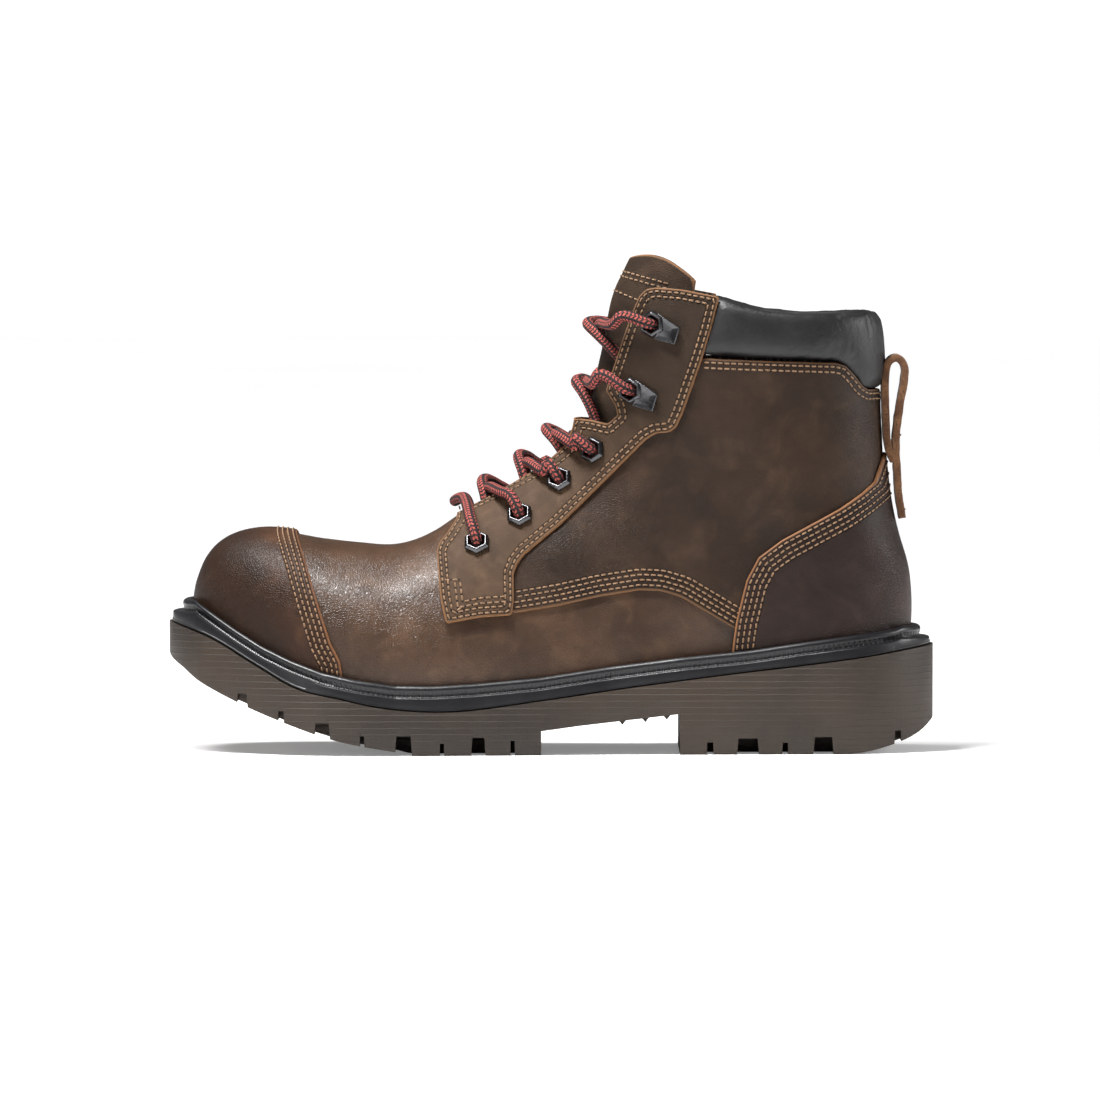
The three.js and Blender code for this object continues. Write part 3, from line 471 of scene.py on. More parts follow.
def closed_faces(triangles, count):
    """The triangles, a reversed copy of them count vertices on, and the walls between the two."""
    rim = boundary_edges(triangles)
    walls = np.vstack([np.stack([rim[:, 1], rim[:, 0], rim[:, 0] + count], 1),
                       np.stack([rim[:, 1], rim[:, 0] + count, rim[:, 1] + count], 1)])
    return np.vstack([triangles, triangles[:, ::-1] + count, walls])


def ring_faces(count, rings, base=0):
    """Quads that join rings of count vertices, each ring to the next."""
    return [(a + i, a + (i + 1) % count, a + (i + 1) % count + count, a + i + count)
            for a in range(base, base + (rings - 1) * count, count) for i in range(count)]


def loop_faces(count, sections):
    """Quads that join closed sections of count vertices into a loop."""
    faces = []
    for i in range(sections):
        near, far = i * count, (i + 1) % sections * count
        for j in range(count):
            k = (j + 1) % count
            faces.append((near + j, far + j, far + k, near + k))
    return faces


def quarter_round(share):
    """Height of a quarter circle, from 0 at share 0 to 1 at share 1 and beyond."""
    return np.sqrt(np.clip(1 - (1 - np.clip(share, 0, 1)) ** 2, 0, 1))


def shade_smooth(obj, sharp=None):
    """Smooth shading, with corners of more than sharp degrees left sharp."""
    obj.data.polygons.foreach_set("use_smooth", np.ones(len(obj.data.polygons), bool))
    if sharp is not None:
        obj.data.set_sharp_from_angle(angle=math.radians(sharp))


EDGE_ROUNDING = 0.6


def leather_panel(name, sheet, cover, levels, materials, relief=None, seam=None):
    """A piece of leather: the sheet where cover is positive, as thick as its two levels."""
    low, high = levels
    raised = sheet.points + sheet.normals * high
    sheet.add_field("edge", cover(raised))
    if seam is not None:
        sheet.add_field("seam", seam(raised))
    sheet.split("edge", 0, drop=True)
    for depth in (0.3 * EDGE_ROUNDING, EDGE_ROUNDING):
        sheet.split("edge", depth, drop=False)
    sheet.drop_unused()
    edge = np.clip(sheet.field("edge"), 0, None)
    lift = high - EDGE_ROUNDING * (1 - quarter_round(edge / EDGE_ROUNDING))
    if relief is not None:
        lift = lift + relief(sheet) * np.clip(edge / 4, 0, 1)
    top = sheet.points + sheet.normals * lift[:, None]
    bottom = sheet.points + sheet.normals * low
    faces = closed_faces(sheet.triangles, len(top))
    slots = np.arange(len(faces)) >= len(sheet.triangles)
    fields = {"edge": np.r_[edge, edge]}
    if seam is not None:
        fields["seam"] = np.r_[sheet.field("seam"), sheet.field("seam")]
    sheet.data[:, :3] = top
    panel = make_mesh(name, np.vstack([top, bottom]), faces, materials, face_material=slots, floats=fields)
    shade_smooth(panel, 50)
    return panel


def rolling(strength, size, seed=0.0):
    """Gentle unevenness of lasted leather, as a relief for a panel."""
    shift = Vector((seed, 0, 0))

    def relief(sheet):
        return np.array([noise.noise(Vector(p) / size + shift) for p in sheet.points]) * strength

    return relief


# ---------------------------------------------------------------- stitching

STITCH_PITCH = 2.7
STITCH_LENGTH = 2.2
THREAD_RADIUS = 0.38
# The needle holes are flat dark discs: painted shade of the holes.
HOLE_RADIUS = 0.5
HOLE_LIFT = 0.06                # how far the disc of a needle hole stands off the leather


def resample(line, pitch):
    """Points, normals and directions at even steps along a line of (point, normal) rows."""
    steps = np.linalg.norm(np.diff(line[:, :3], axis=0), axis=1)
    along = np.r_[0, np.cumsum(steps)]
    count = int(along[-1] / pitch)
    if count < 2:
        return None
    at = (np.arange(count) + 0.5) * along[-1] / count
    rows = np.stack([np.interp(at, along, line[:, j]) for j in range(6)], 1)
    ahead, behind = (np.stack([np.interp(at + step, along, line[:, j]) for j in range(3)], 1)
                     for step in (0.4, -0.4))
    tangent = ahead - behind
    return rows[:, :3], rows[:, 3:], tangent / np.linalg.norm(tangent, axis=1, keepdims=True)


def stitches(name, lines, thread, hole):
    """Rows of short stitches, each bowed up from the leather, with a dark disc after each: painted shade of
    its needle hole.
    """
    # Place along the half length, width and height of each ring of a stitch.
    shape = [(-1, 0.35, -0.35), (-0.7, 0.85, 0.1), (0, 1, 0.28), (0.7, 0.85, 0.1), (1, 0.35, -0.35)]
    ring = [(math.cos(a), math.sin(a)) for a in np.arange(6) * math.pi / 3]
    vertices, faces, slots = [], [], []
    for line in lines:
        found = resample(line, STITCH_PITCH)
        if found is None:
            continue
        for point, normal, tangent in zip(*found):
            normal = normal / np.linalg.norm(normal)
            across = np.cross(normal, tangent)
            base = len(vertices)
            for part, wide, high in shape:
                middle = point + tangent * part * STITCH_LENGTH / 2 + normal * high * THREAD_RADIUS
                vertices += [middle + (across * c + normal * s) * THREAD_RADIUS * wide for c, s in ring]
            first, last = base + np.arange(6), len(vertices) - 6 + np.arange(6)
            thread_faces = [*ring_faces(6, len(shape), base), first[::-1], last]
            faces += thread_faces
            slots += [0] * len(thread_faces)
            base = len(vertices)
            # A flat dark disc just off the leather: painted shade of the needle hole.
            centre = point + tangent * STITCH_PITCH / 2 + normal * HOLE_LIFT
            vertices += [centre + (tangent * c + across * s) * HOLE_RADIUS for c, s in ring]
            faces.append([base + i for i in range(6)])
            slots.append(1)
    return make_mesh(name, vertices, faces, [thread, hole], face_material=slots)


# ---------------------------------------------------------------- materials

def srgb(red, green, blue):
    """A colour as Blender's linear RGBA, from 0-255 values."""
    def linear(value):
        value /= 255
        return value / 12.92 if value <= 0.04045 else ((value + 0.055) / 1.055) ** 2.4
    return (linear(red), linear(green), linear(blue), 1.0)


class Finish:
    """A material and a short way to add nodes to it. Texture space is the object's own metres."""

    def __init__(self, name):
        self.material = bpy.data.materials.new(name)
        self.material.use_nodes = True
        self.tree = self.material.node_tree
        self.shader = self.tree.nodes["Principled BSDF"]
        self.place = self.tree.nodes.new("ShaderNodeTexCoord").outputs["Object"]
        self.height = None

    def link(self, value, socket):
        if isinstance(value, bpy.types.NodeSocket):
            self.tree.links.new(value, socket)
        else:
            socket.default_value = value

    def node(self, kind, inputs=(), **settings):
        node = self.tree.nodes.new(kind)
        for key, value in settings.items():
            setattr(node, key, value)
        for key, value in dict(inputs).items():
            self.link(value, node.inputs[key])
        return node

    def math(self, operation, a, b=0.0):
        return self.node("ShaderNodeMath", {0: a, 1: b}, operation=operation).outputs[0]

    def times(self, a, b):
        return self.math("MULTIPLY", a, b)

    def minus(self, a, b):
        return self.math("SUBTRACT", a, b)

    def axis(self, name):
        """One coordinate of the place on the object, in metres."""
        return self.node("ShaderNodeSeparateXYZ", {"Vector": self.place}).outputs[name]

    def noise(self, scale, detail=3.0, distortion=0.0):
        inputs = {"Vector": self.place, "Scale": scale, "Detail": detail, "Distortion": distortion}
        return self.node("ShaderNodeTexNoise", inputs).outputs["Fac"]

    def cells(self, scale, feature="DISTANCE_TO_EDGE"):
        inputs = {"Vector": self.place, "Scale": scale}
        return self.node("ShaderNodeTexVoronoi", inputs, feature=feature).outputs["Distance"]

    def attribute(self, name):
        return self.node("ShaderNodeAttribute", attribute_name=name).outputs["Fac"]

    def spread(self, value, low, high):
        """Maps low..high to 0..1, smoothly and clamped."""
        inputs = {"Value": value, "From Min": low, "From Max": high}
        return self.node("ShaderNodeMapRange", inputs, interpolation_type="SMOOTHSTEP").outputs["Result"]

    def mix(self, factor, a, b):
        node = self.node("ShaderNodeMix", {"Factor": factor}, data_type="RGBA")
        self.link(a, node.inputs[6])
        self.link(b, node.inputs[7])
        return node.outputs[2]

    def colour(self, value):
        self.link(value, self.shader.inputs["Base Color"])

    def rough(self, value):
        self.link(value, self.shader.inputs["Roughness"])

    def rough_between(self, value, low, high):
        inputs = {"Value": value, "To Min": low, "To Max": high}
        self.rough(self.node("ShaderNodeMapRange", inputs).outputs["Result"])

    def bump(self, height, depth, strength=1.0):
        """Adds relief of the given depth in millimetres."""
        inputs = {"Height": height, "Distance": depth * MM, "Strength": strength}
        if self.height is not None:
            inputs["Normal"] = self.height
        self.height = self.node("ShaderNodeBump", inputs).outputs["Normal"]
        self.link(self.height, self.shader.inputs["Normal"])


def stitch_grooves(f, first, pitch, count):
    """1 along the stitch rows, where they press the leather down, fading to 0 between them. Leather uses it
    for the groove's relief and for painted shade in the groove.
    """
    turns = f.math("DIVIDE", f.minus(f.attribute("seam"), first - pitch / 2), pitch)
    from_row = f.math("ABSOLUTE", f.minus(f.math("FRACT", turns), 0.5))
    among_rows = f.times(f.math("GREATER_THAN", turns, 0.0), f.math("LESS_THAN", turns, float(count)))
    return f.times(f.minus(1.0, f.spread(from_row, 0.0, 0.42)), among_rows)


def leather(name, dark, base, light, rough, grain=0.07, rows=None, edge_tint=None, mottle=30,
            shade=None, shine=0.22):
    """Full-grain leather. rows is (first, pitch, count) of the stitch rows along its seam. shade
    is (measure, near, far, colour) of a darker tone: by seam distance it is the toe's burnish, by height it
    is painted shade."""
    f = Finish(name)
    broad = f.noise(mottle, 4.0, 0.6)
    tone = f.mix(f.spread(broad, 0.25, 0.7), dark, base)
    streaks = f.spread(f.noise(mottle * 2.3, 6.0, 0.8), 0.45, 0.8)
    tone = f.mix(f.times(streaks, 0.45), tone, light)
    specks = f.spread(f.noise(240, 3.0), 0.42, 0.7)
    tone = f.mix(f.times(specks, 0.3), tone, dark)
    pores = f.spread(f.cells(1150), 0.0, 0.25)
    f.bump(pores, grain)
    f.bump(f.noise(420, 4.0), grain * 1.6)
    f.bump(f.noise(70, 3.0), 0.25, 0.5)
    # A darker tone: with the seam distance it is a burnish, with the height it is painted shade.
    if shade is not None:
        measure, near, far, deep = shade
        value = f.attribute("seam") if measure == "seam" else f.axis("Z")
        tone = f.mix(f.times(f.spread(value, near, far), 0.75), tone, deep)
    if rows is not None:
        groove_and_shade = stitch_grooves(f, *rows)
        f.bump(f.minus(1.0, groove_and_shade), 0.45)
        # The stitch grooves are painted darker: painted shade in the groove.
        tone = f.mix(f.times(groove_and_shade, 0.5), tone, dark)
    if edge_tint is not None:
        tone = f.mix(f.spread(f.attribute("edge"), 1.0, 0.15), tone, edge_tint)
    f.colour(tone)
    f.rough_between(broad, *rough)
    f.shader.inputs["Specular IOR Level"].default_value = shine
    return f.material


def raw_edge(name, base, light):
    """The cut edge and flesh side of leather."""
    f = Finish(name)
    f.colour(f.mix(f.spread(f.noise(900, 3.0), 0.35, 0.7), base, light))
    f.bump(f.noise(1500, 2.0), 0.1)
    f.rough(0.85)
    return f.material


def thread(name, base, shade):
    f = Finish(name)
    f.colour(f.mix(f.spread(f.noise(2600, 2.0), 0.35, 0.65), shade, base))
    f.bump(f.noise(3000, 1.0), 0.08)
    f.rough(0.65)
    return f.material


# Colour of the needle hole discs: painted shade of the holes.
def needle_hole_shade():
    f = Finish("needle_hole_shade")
    f.colour(f.mix(f.noise(2000), srgb(14, 10, 8), srgb(30, 22, 18)))
    f.rough(0.9)
    return f.material


MOULD_LINE_PITCH = 0.0026        # metres, up the side of the sole


def gum_rubber():
    """Brown moulded sole rubber, with faint mould lines round its sides, lighter low at the toe."""
    f = Finish("gum_rubber")
    tone = f.mix(f.spread(f.noise(22, 4.0), 0.35, 0.68), srgb(38, 29, 21), srgb(54, 42, 31))
    low_toe = f.times(f.spread(f.axis("X"), -0.06, -0.15), f.spread(f.axis("Z"), 0.05, 0.02))
    tone = f.mix(f.times(low_toe, 0.4), tone, srgb(70, 53, 37))
    dust = f.spread(f.noise(900, 2.0), 0.5, 0.75)
    f.colour(f.mix(f.times(dust, 0.3), tone, srgb(52, 45, 38)))
    wave = f.math("SINE", f.times(f.axis("Z"), 2 * math.pi / MOULD_LINE_PITCH))
    f.bump(f.spread(wave, 0.75, 1.0), 0.12)
    f.bump(f.noise(700, 3.0), 0.12)
    f.rough_between(f.noise(60), 0.5, 0.68)
    return f.material


KNURL_PITCH = 1.9               # along the welt's groove


def black_rubber():
    """The welt: semi-gloss, with a knurled groove below the bead."""
    f = Finish("black_rubber")
    f.colour(f.mix(f.noise(50, 3.0), srgb(15, 15, 17), srgb(29, 29, 32)))
    across = f.attribute("across")
    teeth = f.math("SINE", f.times(f.attribute("along"), 2 * math.pi / KNURL_PITCH))
    groove = f.times(f.spread(across, 0.47, 0.52), f.spread(across, 0.68, 0.64))
    f.bump(f.times(f.spread(teeth, -0.4, 0.6), groove), 0.2)
    f.bump(f.noise(500, 3.0), 0.08)
    f.rough_between(f.noise(90), 0.28, 0.42)
    return f.material


def soft_leather():
    """The collar's thin black leather, finely wrinkled."""
    f = Finish("soft_leather")
    f.colour(f.mix(f.spread(f.noise(60, 4.0), 0.35, 0.65), srgb(14, 13, 14), srgb(26, 25, 26)))
    f.bump(f.noise(900, 3.0), 0.12)
    f.bump(f.noise(120, 3.0, 0.8), 0.4, 0.7)
    f.rough_between(f.noise(200), 0.42, 0.56)
    return f.material


def knit(name, base, light, pitch=1.6):
    """Knitted lining: small round cells, pitch millimetres apart."""
    f = Finish(name)
    cell = f.cells(1 / (pitch * MM), "F1")
    # Lighter on the raised loops and darker between them: painted shade between the loops.
    f.colour(f.mix(f.spread(cell, 0.15, 0.6), light, base))
    f.bump(f.minus(1.0, cell), 0.35)
    f.bump(f.noise(1800, 2.0), 0.1)
    f.rough(0.92)
    return f.material


def suede(name, base, light, dark):
    f = Finish(name)
    tone = f.mix(f.spread(f.noise(160, 4.0), 0.35, 0.65), base, light)
    tone = f.mix(f.spread(f.noise(1400, 2.0), 0.5, 0.72), tone, dark)
    f.colour(tone)
    f.bump(f.noise(1600, 3.0), 0.22)
    f.rough(0.93)
    f.shader.inputs["Sheen Weight"].default_value = 0.25
    return f.material


def gunmetal():
    f = Finish("gunmetal")
    f.colour(f.mix(f.noise(220, 3.0), srgb(68, 68, 70), srgb(100, 100, 102)))
    f.shader.inputs["Metallic"].default_value = 1.0
    f.bump(f.noise(900, 2.0), 0.03)
    f.rough_between(f.noise(300), 0.2, 0.34)
    return f.material


def braid():
    """Black braid with four lanes of coral ticks in a herringbone."""
    f = Finish("braid")
    along, turn = f.attribute("along"), f.attribute("turn")
    lane = f.math("FRACT", f.times(turn, 4.0))
    from_middle = f.math("ABSOLUTE", f.minus(lane, 0.5))
    slanted = f.math("ADD", f.math("DIVIDE", along, 1.5), f.times(from_middle, 1.2))
    tick = f.math("LESS_THAN", f.math("FRACT", slanted), 0.55)
    off_edges = f.math("LESS_THAN", from_middle, 0.33)
    off_middle = f.math("GREATER_THAN", from_middle, 0.04)
    length, winding = f.times(along, 5.6), f.times(turn, 16 * math.pi)
    strands = f.math("SINE", f.math("ADD", length, winding))
    counter = f.math("SINE", f.minus(length, winding))
    woven = f.math("MAXIMUM", strands, counter)
    # The weave's dips are painted darker and its crests lighter: painted shade and sheen along the strands.
    black = f.mix(f.spread(woven, 0.0, 1.0), srgb(14, 9, 10), srgb(50, 34, 35))
    f.colour(f.mix(f.times(tick, f.times(off_edges, off_middle)), black, srgb(186, 86, 76)))
    f.bump(f.spread(woven, -0.2, 1.0), 0.35)
    f.rough(0.8)
    return f.material


def plastic(name, dark, light):
    f = Finish(name)
    f.colour(f.mix(f.noise(80), dark, light))
    f.bump(f.noise(400), 0.04)
    f.rough(0.32)
    return f.material


def hidden_stuff(name, dark, light, rough, metallic=0.0):
    """Steel, foam or board of the pieces inside."""
    f = Finish(name)
    f.colour(f.mix(f.noise(120, 4.0), dark, light))
    f.bump(f.noise(700, 3.0), 0.1)
    f.rough(rough)
    f.shader.inputs["Metallic"].default_value = metallic
    return f.material


RAW_TAN = raw_edge("raw_tan", srgb(126, 84, 52), srgb(164, 116, 76))
RAW_BROWN = raw_edge("raw_brown", srgb(70, 48, 34), srgb(112, 80, 56))
THREAD_TAN = thread("thread_tan", srgb(164, 130, 98), srgb(108, 80, 56))
THREAD_BROWN = thread("thread_brown", srgb(120, 88, 66), srgb(70, 50, 40))
NEEDLE_HOLE_SHADE = needle_hole_shade()
TEXTILE = knit("lining_knit", srgb(58, 54, 50), srgb(104, 98, 92))
GUNMETAL = gunmetal()
SOFT_LEATHER = soft_leather()


# ---------------------------------------------------------------- camera, floor and light

VIEW_WIDTH = 0.4464             # how much the view takes in across, at the boot
VIEW_CENTRE = Vector((0.0, 0.0, 0.0808))
VIEW_ELEVATION = math.radians(2.2)
VIEW_DISTANCE = 5.0
AMBIENT = 0.13                  # strength of the world as a light
WHITE_SEEN = 1.1                # its strength as the camera sees it
FLOOR_GLOW = 0.22


def add_camera():
    data = bpy.data.cameras.new("camera")
    camera = bpy.data.objects.new("camera", data)
    bpy.context.collection.objects.link(camera)
    back = Vector((0, -math.cos(VIEW_ELEVATION), math.sin(VIEW_ELEVATION)))
    camera.location = VIEW_CENTRE + back * VIEW_DISTANCE
    camera.rotation_euler = (-back).to_track_quat("-Z", "Y").to_euler()
    data.sensor_width = 36
    data.lens = 36 * VIEW_DISTANCE / VIEW_WIDTH
    data.clip_end = 50
    bpy.context.scene.camera = camera


def add_light(name, place, target, size, watts):
    """A round area light that faces its target."""
    data = bpy.data.lights.new(name, "AREA")
    data.shape, data.size, data.energy = "DISK", size, watts
    light = bpy.data.objects.new(name, data)
    bpy.context.collection.objects.link(light)
    light.location = place
    light.rotation_euler = (Vector(target) - Vector(place)).to_track_quat("-Z", "Y").to_euler()


def add_sun(name, toward, strength, softness):
    """A distant light in the given direction, softness degrees across."""
    data = bpy.data.lights.new(name, "SUN")
    data.energy, data.angle = strength, math.radians(softness)
    light = bpy.data.objects.new(name, data)
    bpy.context.collection.objects.link(light)
    light.rotation_euler = (-Vector(toward)).to_track_quat("-Z", "Y").to_euler()


def add_floor():
    """A white floor. Its glow is for the camera alone, so that it doesn't light the boot."""
    size = 8.0
    corners = [(-size, -size, 0), (size, -size, 0), (size, size, 0), (-size, size, 0)]
    mesh = bpy.data.meshes.new("floor")
    mesh.from_pydata(corners, [], [(0, 1, 2, 3)])
    floor = bpy.data.objects.new("floor", mesh)
    bpy.context.collection.objects.link(floor)
    f = Finish("floor_white")
    f.colour(f.mix(f.noise(3.0), srgb(246, 246, 246), srgb(252, 252, 252)))
    f.rough(0.9)
    f.shader.inputs["Emission Color"].default_value = (1, 1, 1, 1)
    seen = f.node("ShaderNodeLightPath").outputs["Is Camera Ray"]
    f.link(f.times(seen, FLOOR_GLOW), f.shader.inputs["Emission Strength"])
    mesh.materials.append(f.material)


def add_world():
    """White where the camera sees it, and much dimmer as a light."""
    world = bpy.data.worlds.new("studio")
    world.use_nodes = True
    tree = world.node_tree
    background = tree.nodes["Background"]
    background.inputs["Color"].default_value = (1, 1, 1, 1)
    seen = tree.nodes.new("ShaderNodeLightPath")
    strength = tree.nodes.new("ShaderNodeMapRange")
    strength.inputs["To Min"].default_value = AMBIENT
    strength.inputs["To Max"].default_value = WHITE_SEEN
    tree.links.new(seen.outputs["Is Camera Ray"], strength.inputs["Value"])
    tree.links.new(strength.outputs["Result"], background.inputs["Strength"])
    bpy.context.scene.world = world


def add_lights():
    middle = (0, 0, 0.08)
    add_sun("overhead", (-0.4, -0.06, 1.0), 2.5, 20)
    add_light("softbox", (-0.22, -0.28, 1.0), (-0.08, 0, 0.06), 0.28, 14)
    add_light("front", (-0.9, -1.7, 0.6), middle, 0.7, 3)
    add_light("rear", (1.2, 0.1, 0.5), middle, 0.5, 6)
    bpy.context.scene.view_settings.view_transform = "Standard"


# ---------------------------------------------------------------- lace

def smooth_curve(points, per_span=16):
    """A centripetal Catmull-Rom curve through points, as a dense polyline."""
    p = np.asarray(points, float)
    p = np.vstack([2 * p[0] - p[1], p, 2 * p[-1] - p[-2]])
    t = np.linspace(0, 1, per_span, endpoint=False)[:, None]
    parts = []
    for i in range(1, len(p) - 2):
        before, here, ahead = (max(np.linalg.norm(p[j + 1] - p[j]) ** 0.5, 1e-4)
                               for j in (i - 1, i, i + 1))
        leaving = ((p[i] - p[i - 1]) / before - (p[i + 1] - p[i - 1]) / (before + here)
                   + (p[i + 1] - p[i]) / here) * here
        arriving = ((p[i + 1] - p[i]) / here - (p[i + 2] - p[i]) / (here + ahead)
                    + (p[i + 2] - p[i + 1]) / ahead) * here
        parts.append(p[i] + leaving * t + (3 * (p[i + 1] - p[i]) - 2 * leaving - arriving) * t ** 2
                     + (2 * (p[i] - p[i + 1]) + leaving + arriving) * t ** 3)
    return np.vstack(parts + [p[-2:-1]])


def even_steps(curve, step):
    """The polyline again, at even steps near the given length."""
    along = np.r_[0, np.cumsum(np.linalg.norm(np.diff(curve, axis=0), axis=1))]
    at = np.linspace(0, along[-1], max(int(round(along[-1] / step)), 2) + 1)
    return np.stack([np.interp(at, along, curve[:, j]) for j in range(3)], 1)


LACE_RADIUS = 2.3
TIP_LENGTH = 20.0
LEVEL_OVER_EYELET = 8.6
LEVEL_UNDER_LEATHER = -5.8
# Levels of the lace from one throat edge to the other: strands passing under, then over.
CROSSINGS = {
    "eyelets": ((-4.9, 0, 2.2, 4.8), (-5.2, 2, 6.4, 7.4)),
    "hooks": ((-5.6, -6, -6, -2.8), (-5.3, -3.4, -1.2, 0.4)),
}
UPPER_EDGE = (24.3, 152.5)      # where the throat edge turns up beside the hooks

# The loose end's way down the shaft and forward over the footbed: x, |y|, z.
TAIL_POINTS = [
    (56.8, 24.4, 157), (57.2, 23.8, 140), (54, 21.8, 116), (48, 20.5, 90), (42, 20.5, 66),
    (30, 20.5, 49.5), (14, 20.5, 44.2), (-8, 20.5, 41), (-28, 20.5, 38.9),
]


def throat_reach(k, side):
    """How far round the section the edge of the throat lies."""
    u = np.arange(0.02, 1, 0.004)
    aside = np.abs(face_points(k, u, side)[:, 1])
    return u[np.argmax(aside >= THROAT_HALF_WIDTH)]


def laced_route(start):
    """From the middle of the bottom bar up to the inside of a top hook."""
    k, u = locate(*ROWS[0], start)
    steps = [(10.95, 0, start, 5.4), (k - 0.08, throat_reach(k, start) * 0.8, start, 6.6)]
    for i, row in enumerate(ROWS):
        side = start * (-1) ** i
        k, u = locate(*row, side)
        steps += [(k - 0.03, u - 0.066, side, LEVEL_OVER_EYELET), (k, u - 0.01, side, 6.4),
                  (k, u, side, 1.6), (k, u - 0.004, side, -3.6)]
        if i == len(ROWS) - 1:
            break
        dk = locate(*ROWS[i + 1], -side)[0] - k
        edge = locate(*UPPER_EDGE, side)[1] if i == 4 else throat_reach(k + dk / 2, side)
        low, rise, middle, fall = CROSSINGS["eyelets" if i < 3 else "hooks"][side == OUTER]
        steps += [
            (k + dk * 0.14, u - (u - edge) * 0.45, side, LEVEL_UNDER_LEATHER),
            (k + dk * 0.3, edge * 0.9, side, low),
            (k + dk * 0.42, edge * 0.5, side, rise),
            (k + dk * 0.52, 0, side, middle),
            (k + dk * 0.66, edge * 0.62, -side, fall),
            (k + dk * 0.82, edge * 1.12, -side, 6.6),
        ]
    return [offset_points(*step)[0] for step in steps]


def tail_route(start):
    """A loose end, down inside the shaft and forward along the footbed."""
    side = start * (-1) ** (len(ROWS) - 1)
    k, u = locate(*ROWS[-1], side)
    near = [offset_points(k, u + 0.03, side, -5.9)[0], offset_points(k, u + 0.12, side, -6.0)[0]]
    return near + [np.array((x, side * y, z)) for x, y, z in TAIL_POINTS]


def tube(name, path, radius, materials, sides=14, cap_round=0.0):
    """A round tube along a polyline. Its materials can read how far along and round it they are."""
    tangents = np.gradient(path, axis=0)
    tangents /= np.linalg.norm(tangents, axis=1, keepdims=True)
    across = np.cross(tangents[0], (0, 0, 1.0))
    if np.linalg.norm(across) < 0.1:
        across = np.cross(tangents[0], (0, 1.0, 0))
    frames = []
    for tangent in tangents:
        across = across - tangent * (across @ tangent)
        across /= np.linalg.norm(across)
        frames.append((across, np.cross(tangent, across)))
    angles = np.arange(sides + 1) * 2 * math.pi / sides
    along = np.r_[0, np.cumsum(np.linalg.norm(np.diff(path, axis=0), axis=1))]
    radii = np.full(len(path), radius)
    if cap_round:
        left = np.minimum(along, along[-1] - along)
        radii *= np.maximum(quarter_round(left / cap_round), math.sqrt(0.05))
    vertices, lengths, turns = [], [], []
    for point, (a, b), r, s in zip(path, frames, radii, along):
        vertices += [point + (a * math.cos(w) + b * math.sin(w)) * r for w in angles]
        lengths += [s] * (sides + 1)
        turns += list(angles / (2 * math.pi))
    faces = []
    for r in range(len(path) - 1):
        for i in range(sides):
            a = r * (sides + 1) + i
            faces.append((a, a + 1, a + sides + 2, a + sides + 1))
    last = (len(path) - 1) * (sides + 1)
    faces += [list(range(sides))[::-1], [last + i for i in range(sides)]]
    return make_mesh(name, vertices, faces, materials, floats={"along": lengths, "turn": turns})


def finish_piece(obj, *nodes):
    """Lets the piece ride on the boot, in place of the CAD nodes named."""
    if nodes:
        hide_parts(*nodes)
    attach(obj, "boot")


def lace_tip(end, before, material):
    """The tip at an end of the lace, in line with the lace's last stretch."""
    ahead = (end - before) / np.linalg.norm(end - before)
    gap = 0.3
    line = even_steps(np.array([end + ahead * gap, end + ahead * (TIP_LENGTH + gap)]), 1.0)
    side = SIDE_NAMES[INNER if end[1] > 0 else OUTER]
    tip = tube(f"tip_{side}", line, LACE_RADIUS * 0.92, [material], cap_round=1.5)
    finish_piece(tip, f"lace_tip_{side}")
    return tip


def add_lace():
    """One cord: a loose end, the lacing down one side and up the other, and the other loose end."""
    tails = {side: tail_route(side) for side in (OUTER, INNER)}
    laced = [*reversed(laced_route(OUTER)), *laced_route(INNER)[1:]]
    route = [*reversed(tails[OUTER]), *laced, *tails[INNER]]
    path = even_steps(smooth_curve(route), 1.6)
    lace = tube("lace_braid", path, LACE_RADIUS, [braid()])
    finish_piece(lace, "lace", "lace_tail_outer", "lace_tail_inner")
    material = plastic("lace_tip", srgb(12, 12, 13), srgb(26, 26, 28))
    tips = [lace_tip(path[0], path[3], material), lace_tip(path[-1], path[-4], material)]
    length = float(np.linalg.norm(np.diff(path, axis=0), axis=1).sum()) * MM


# ---------------------------------------------------------------- leather pieces

def sew(name, lines):
    if lines:
        finish_piece(stitches(name, lines, THREAD_TAN, NEEDLE_HOLE_SHADE))


def add_rows(name, sheet, field, first, pitch, count):
    """Parallel rows of stitches, the first at a distance from a seam, the rest pitch apart."""
    sew(name, [line for i in range(count) for line in sheet.contour(field, first + i * pitch)])


def add_drawn_stitches(name, sheet, rows):
    """Stitches along lines drawn in side view."""
    lines = []
    for i, row in enumerate(rows):
        sheet.add_field(f"row_{i}", line_distance(sheet.points, row, signed=True))
        lines += sheet.contour(f"row_{i}", 0)
    sew(name, lines)


def add_vamp():
    sheet = surface_grid(0, 16.4, 0, 1, "ridge")
    material = leather("vamp_leather", srgb(52, 35, 23), srgb(74, 52, 36), srgb(106, 79, 58), (0.24, 0.38),
                       shine=0.42)
    cover = covered_by(within(VAMP), outside_throat, outside_holes)
    panel = leather_panel("vamp_leather", sheet, cover, LEVEL["vamp"], [material, RAW_BROWN],
                          relief=rolling(0.5, 16))
    finish_piece(panel, "vamp")


def add_toe_cover():
    sheet = surface_grid(0, 9.4, 0, 1, "ridge")
    rows = (1.7, 2.0, 4)
    cover = within(TOE_COVER)
    material = leather("toe_leather", srgb(42, 26, 17), srgb(68, 44, 29), srgb(98, 66, 45), (0.32, 0.48),
                       rows=rows, edge_tint=srgb(128, 86, 58), mottle=26,
                       shade=("seam", 8, 24, srgb(34, 23, 17)))
    panel = leather_panel("toe_leather", sheet, cover, LEVEL["middle"], [material, RAW_TAN],
                          relief=rolling(0.35, 22, 5.0), seam=seam_distance(TOE_EDGE, cover))
    finish_piece(panel, "toe_cap_cover")
    add_rows("toe_stitches", sheet, "seam", *rows)


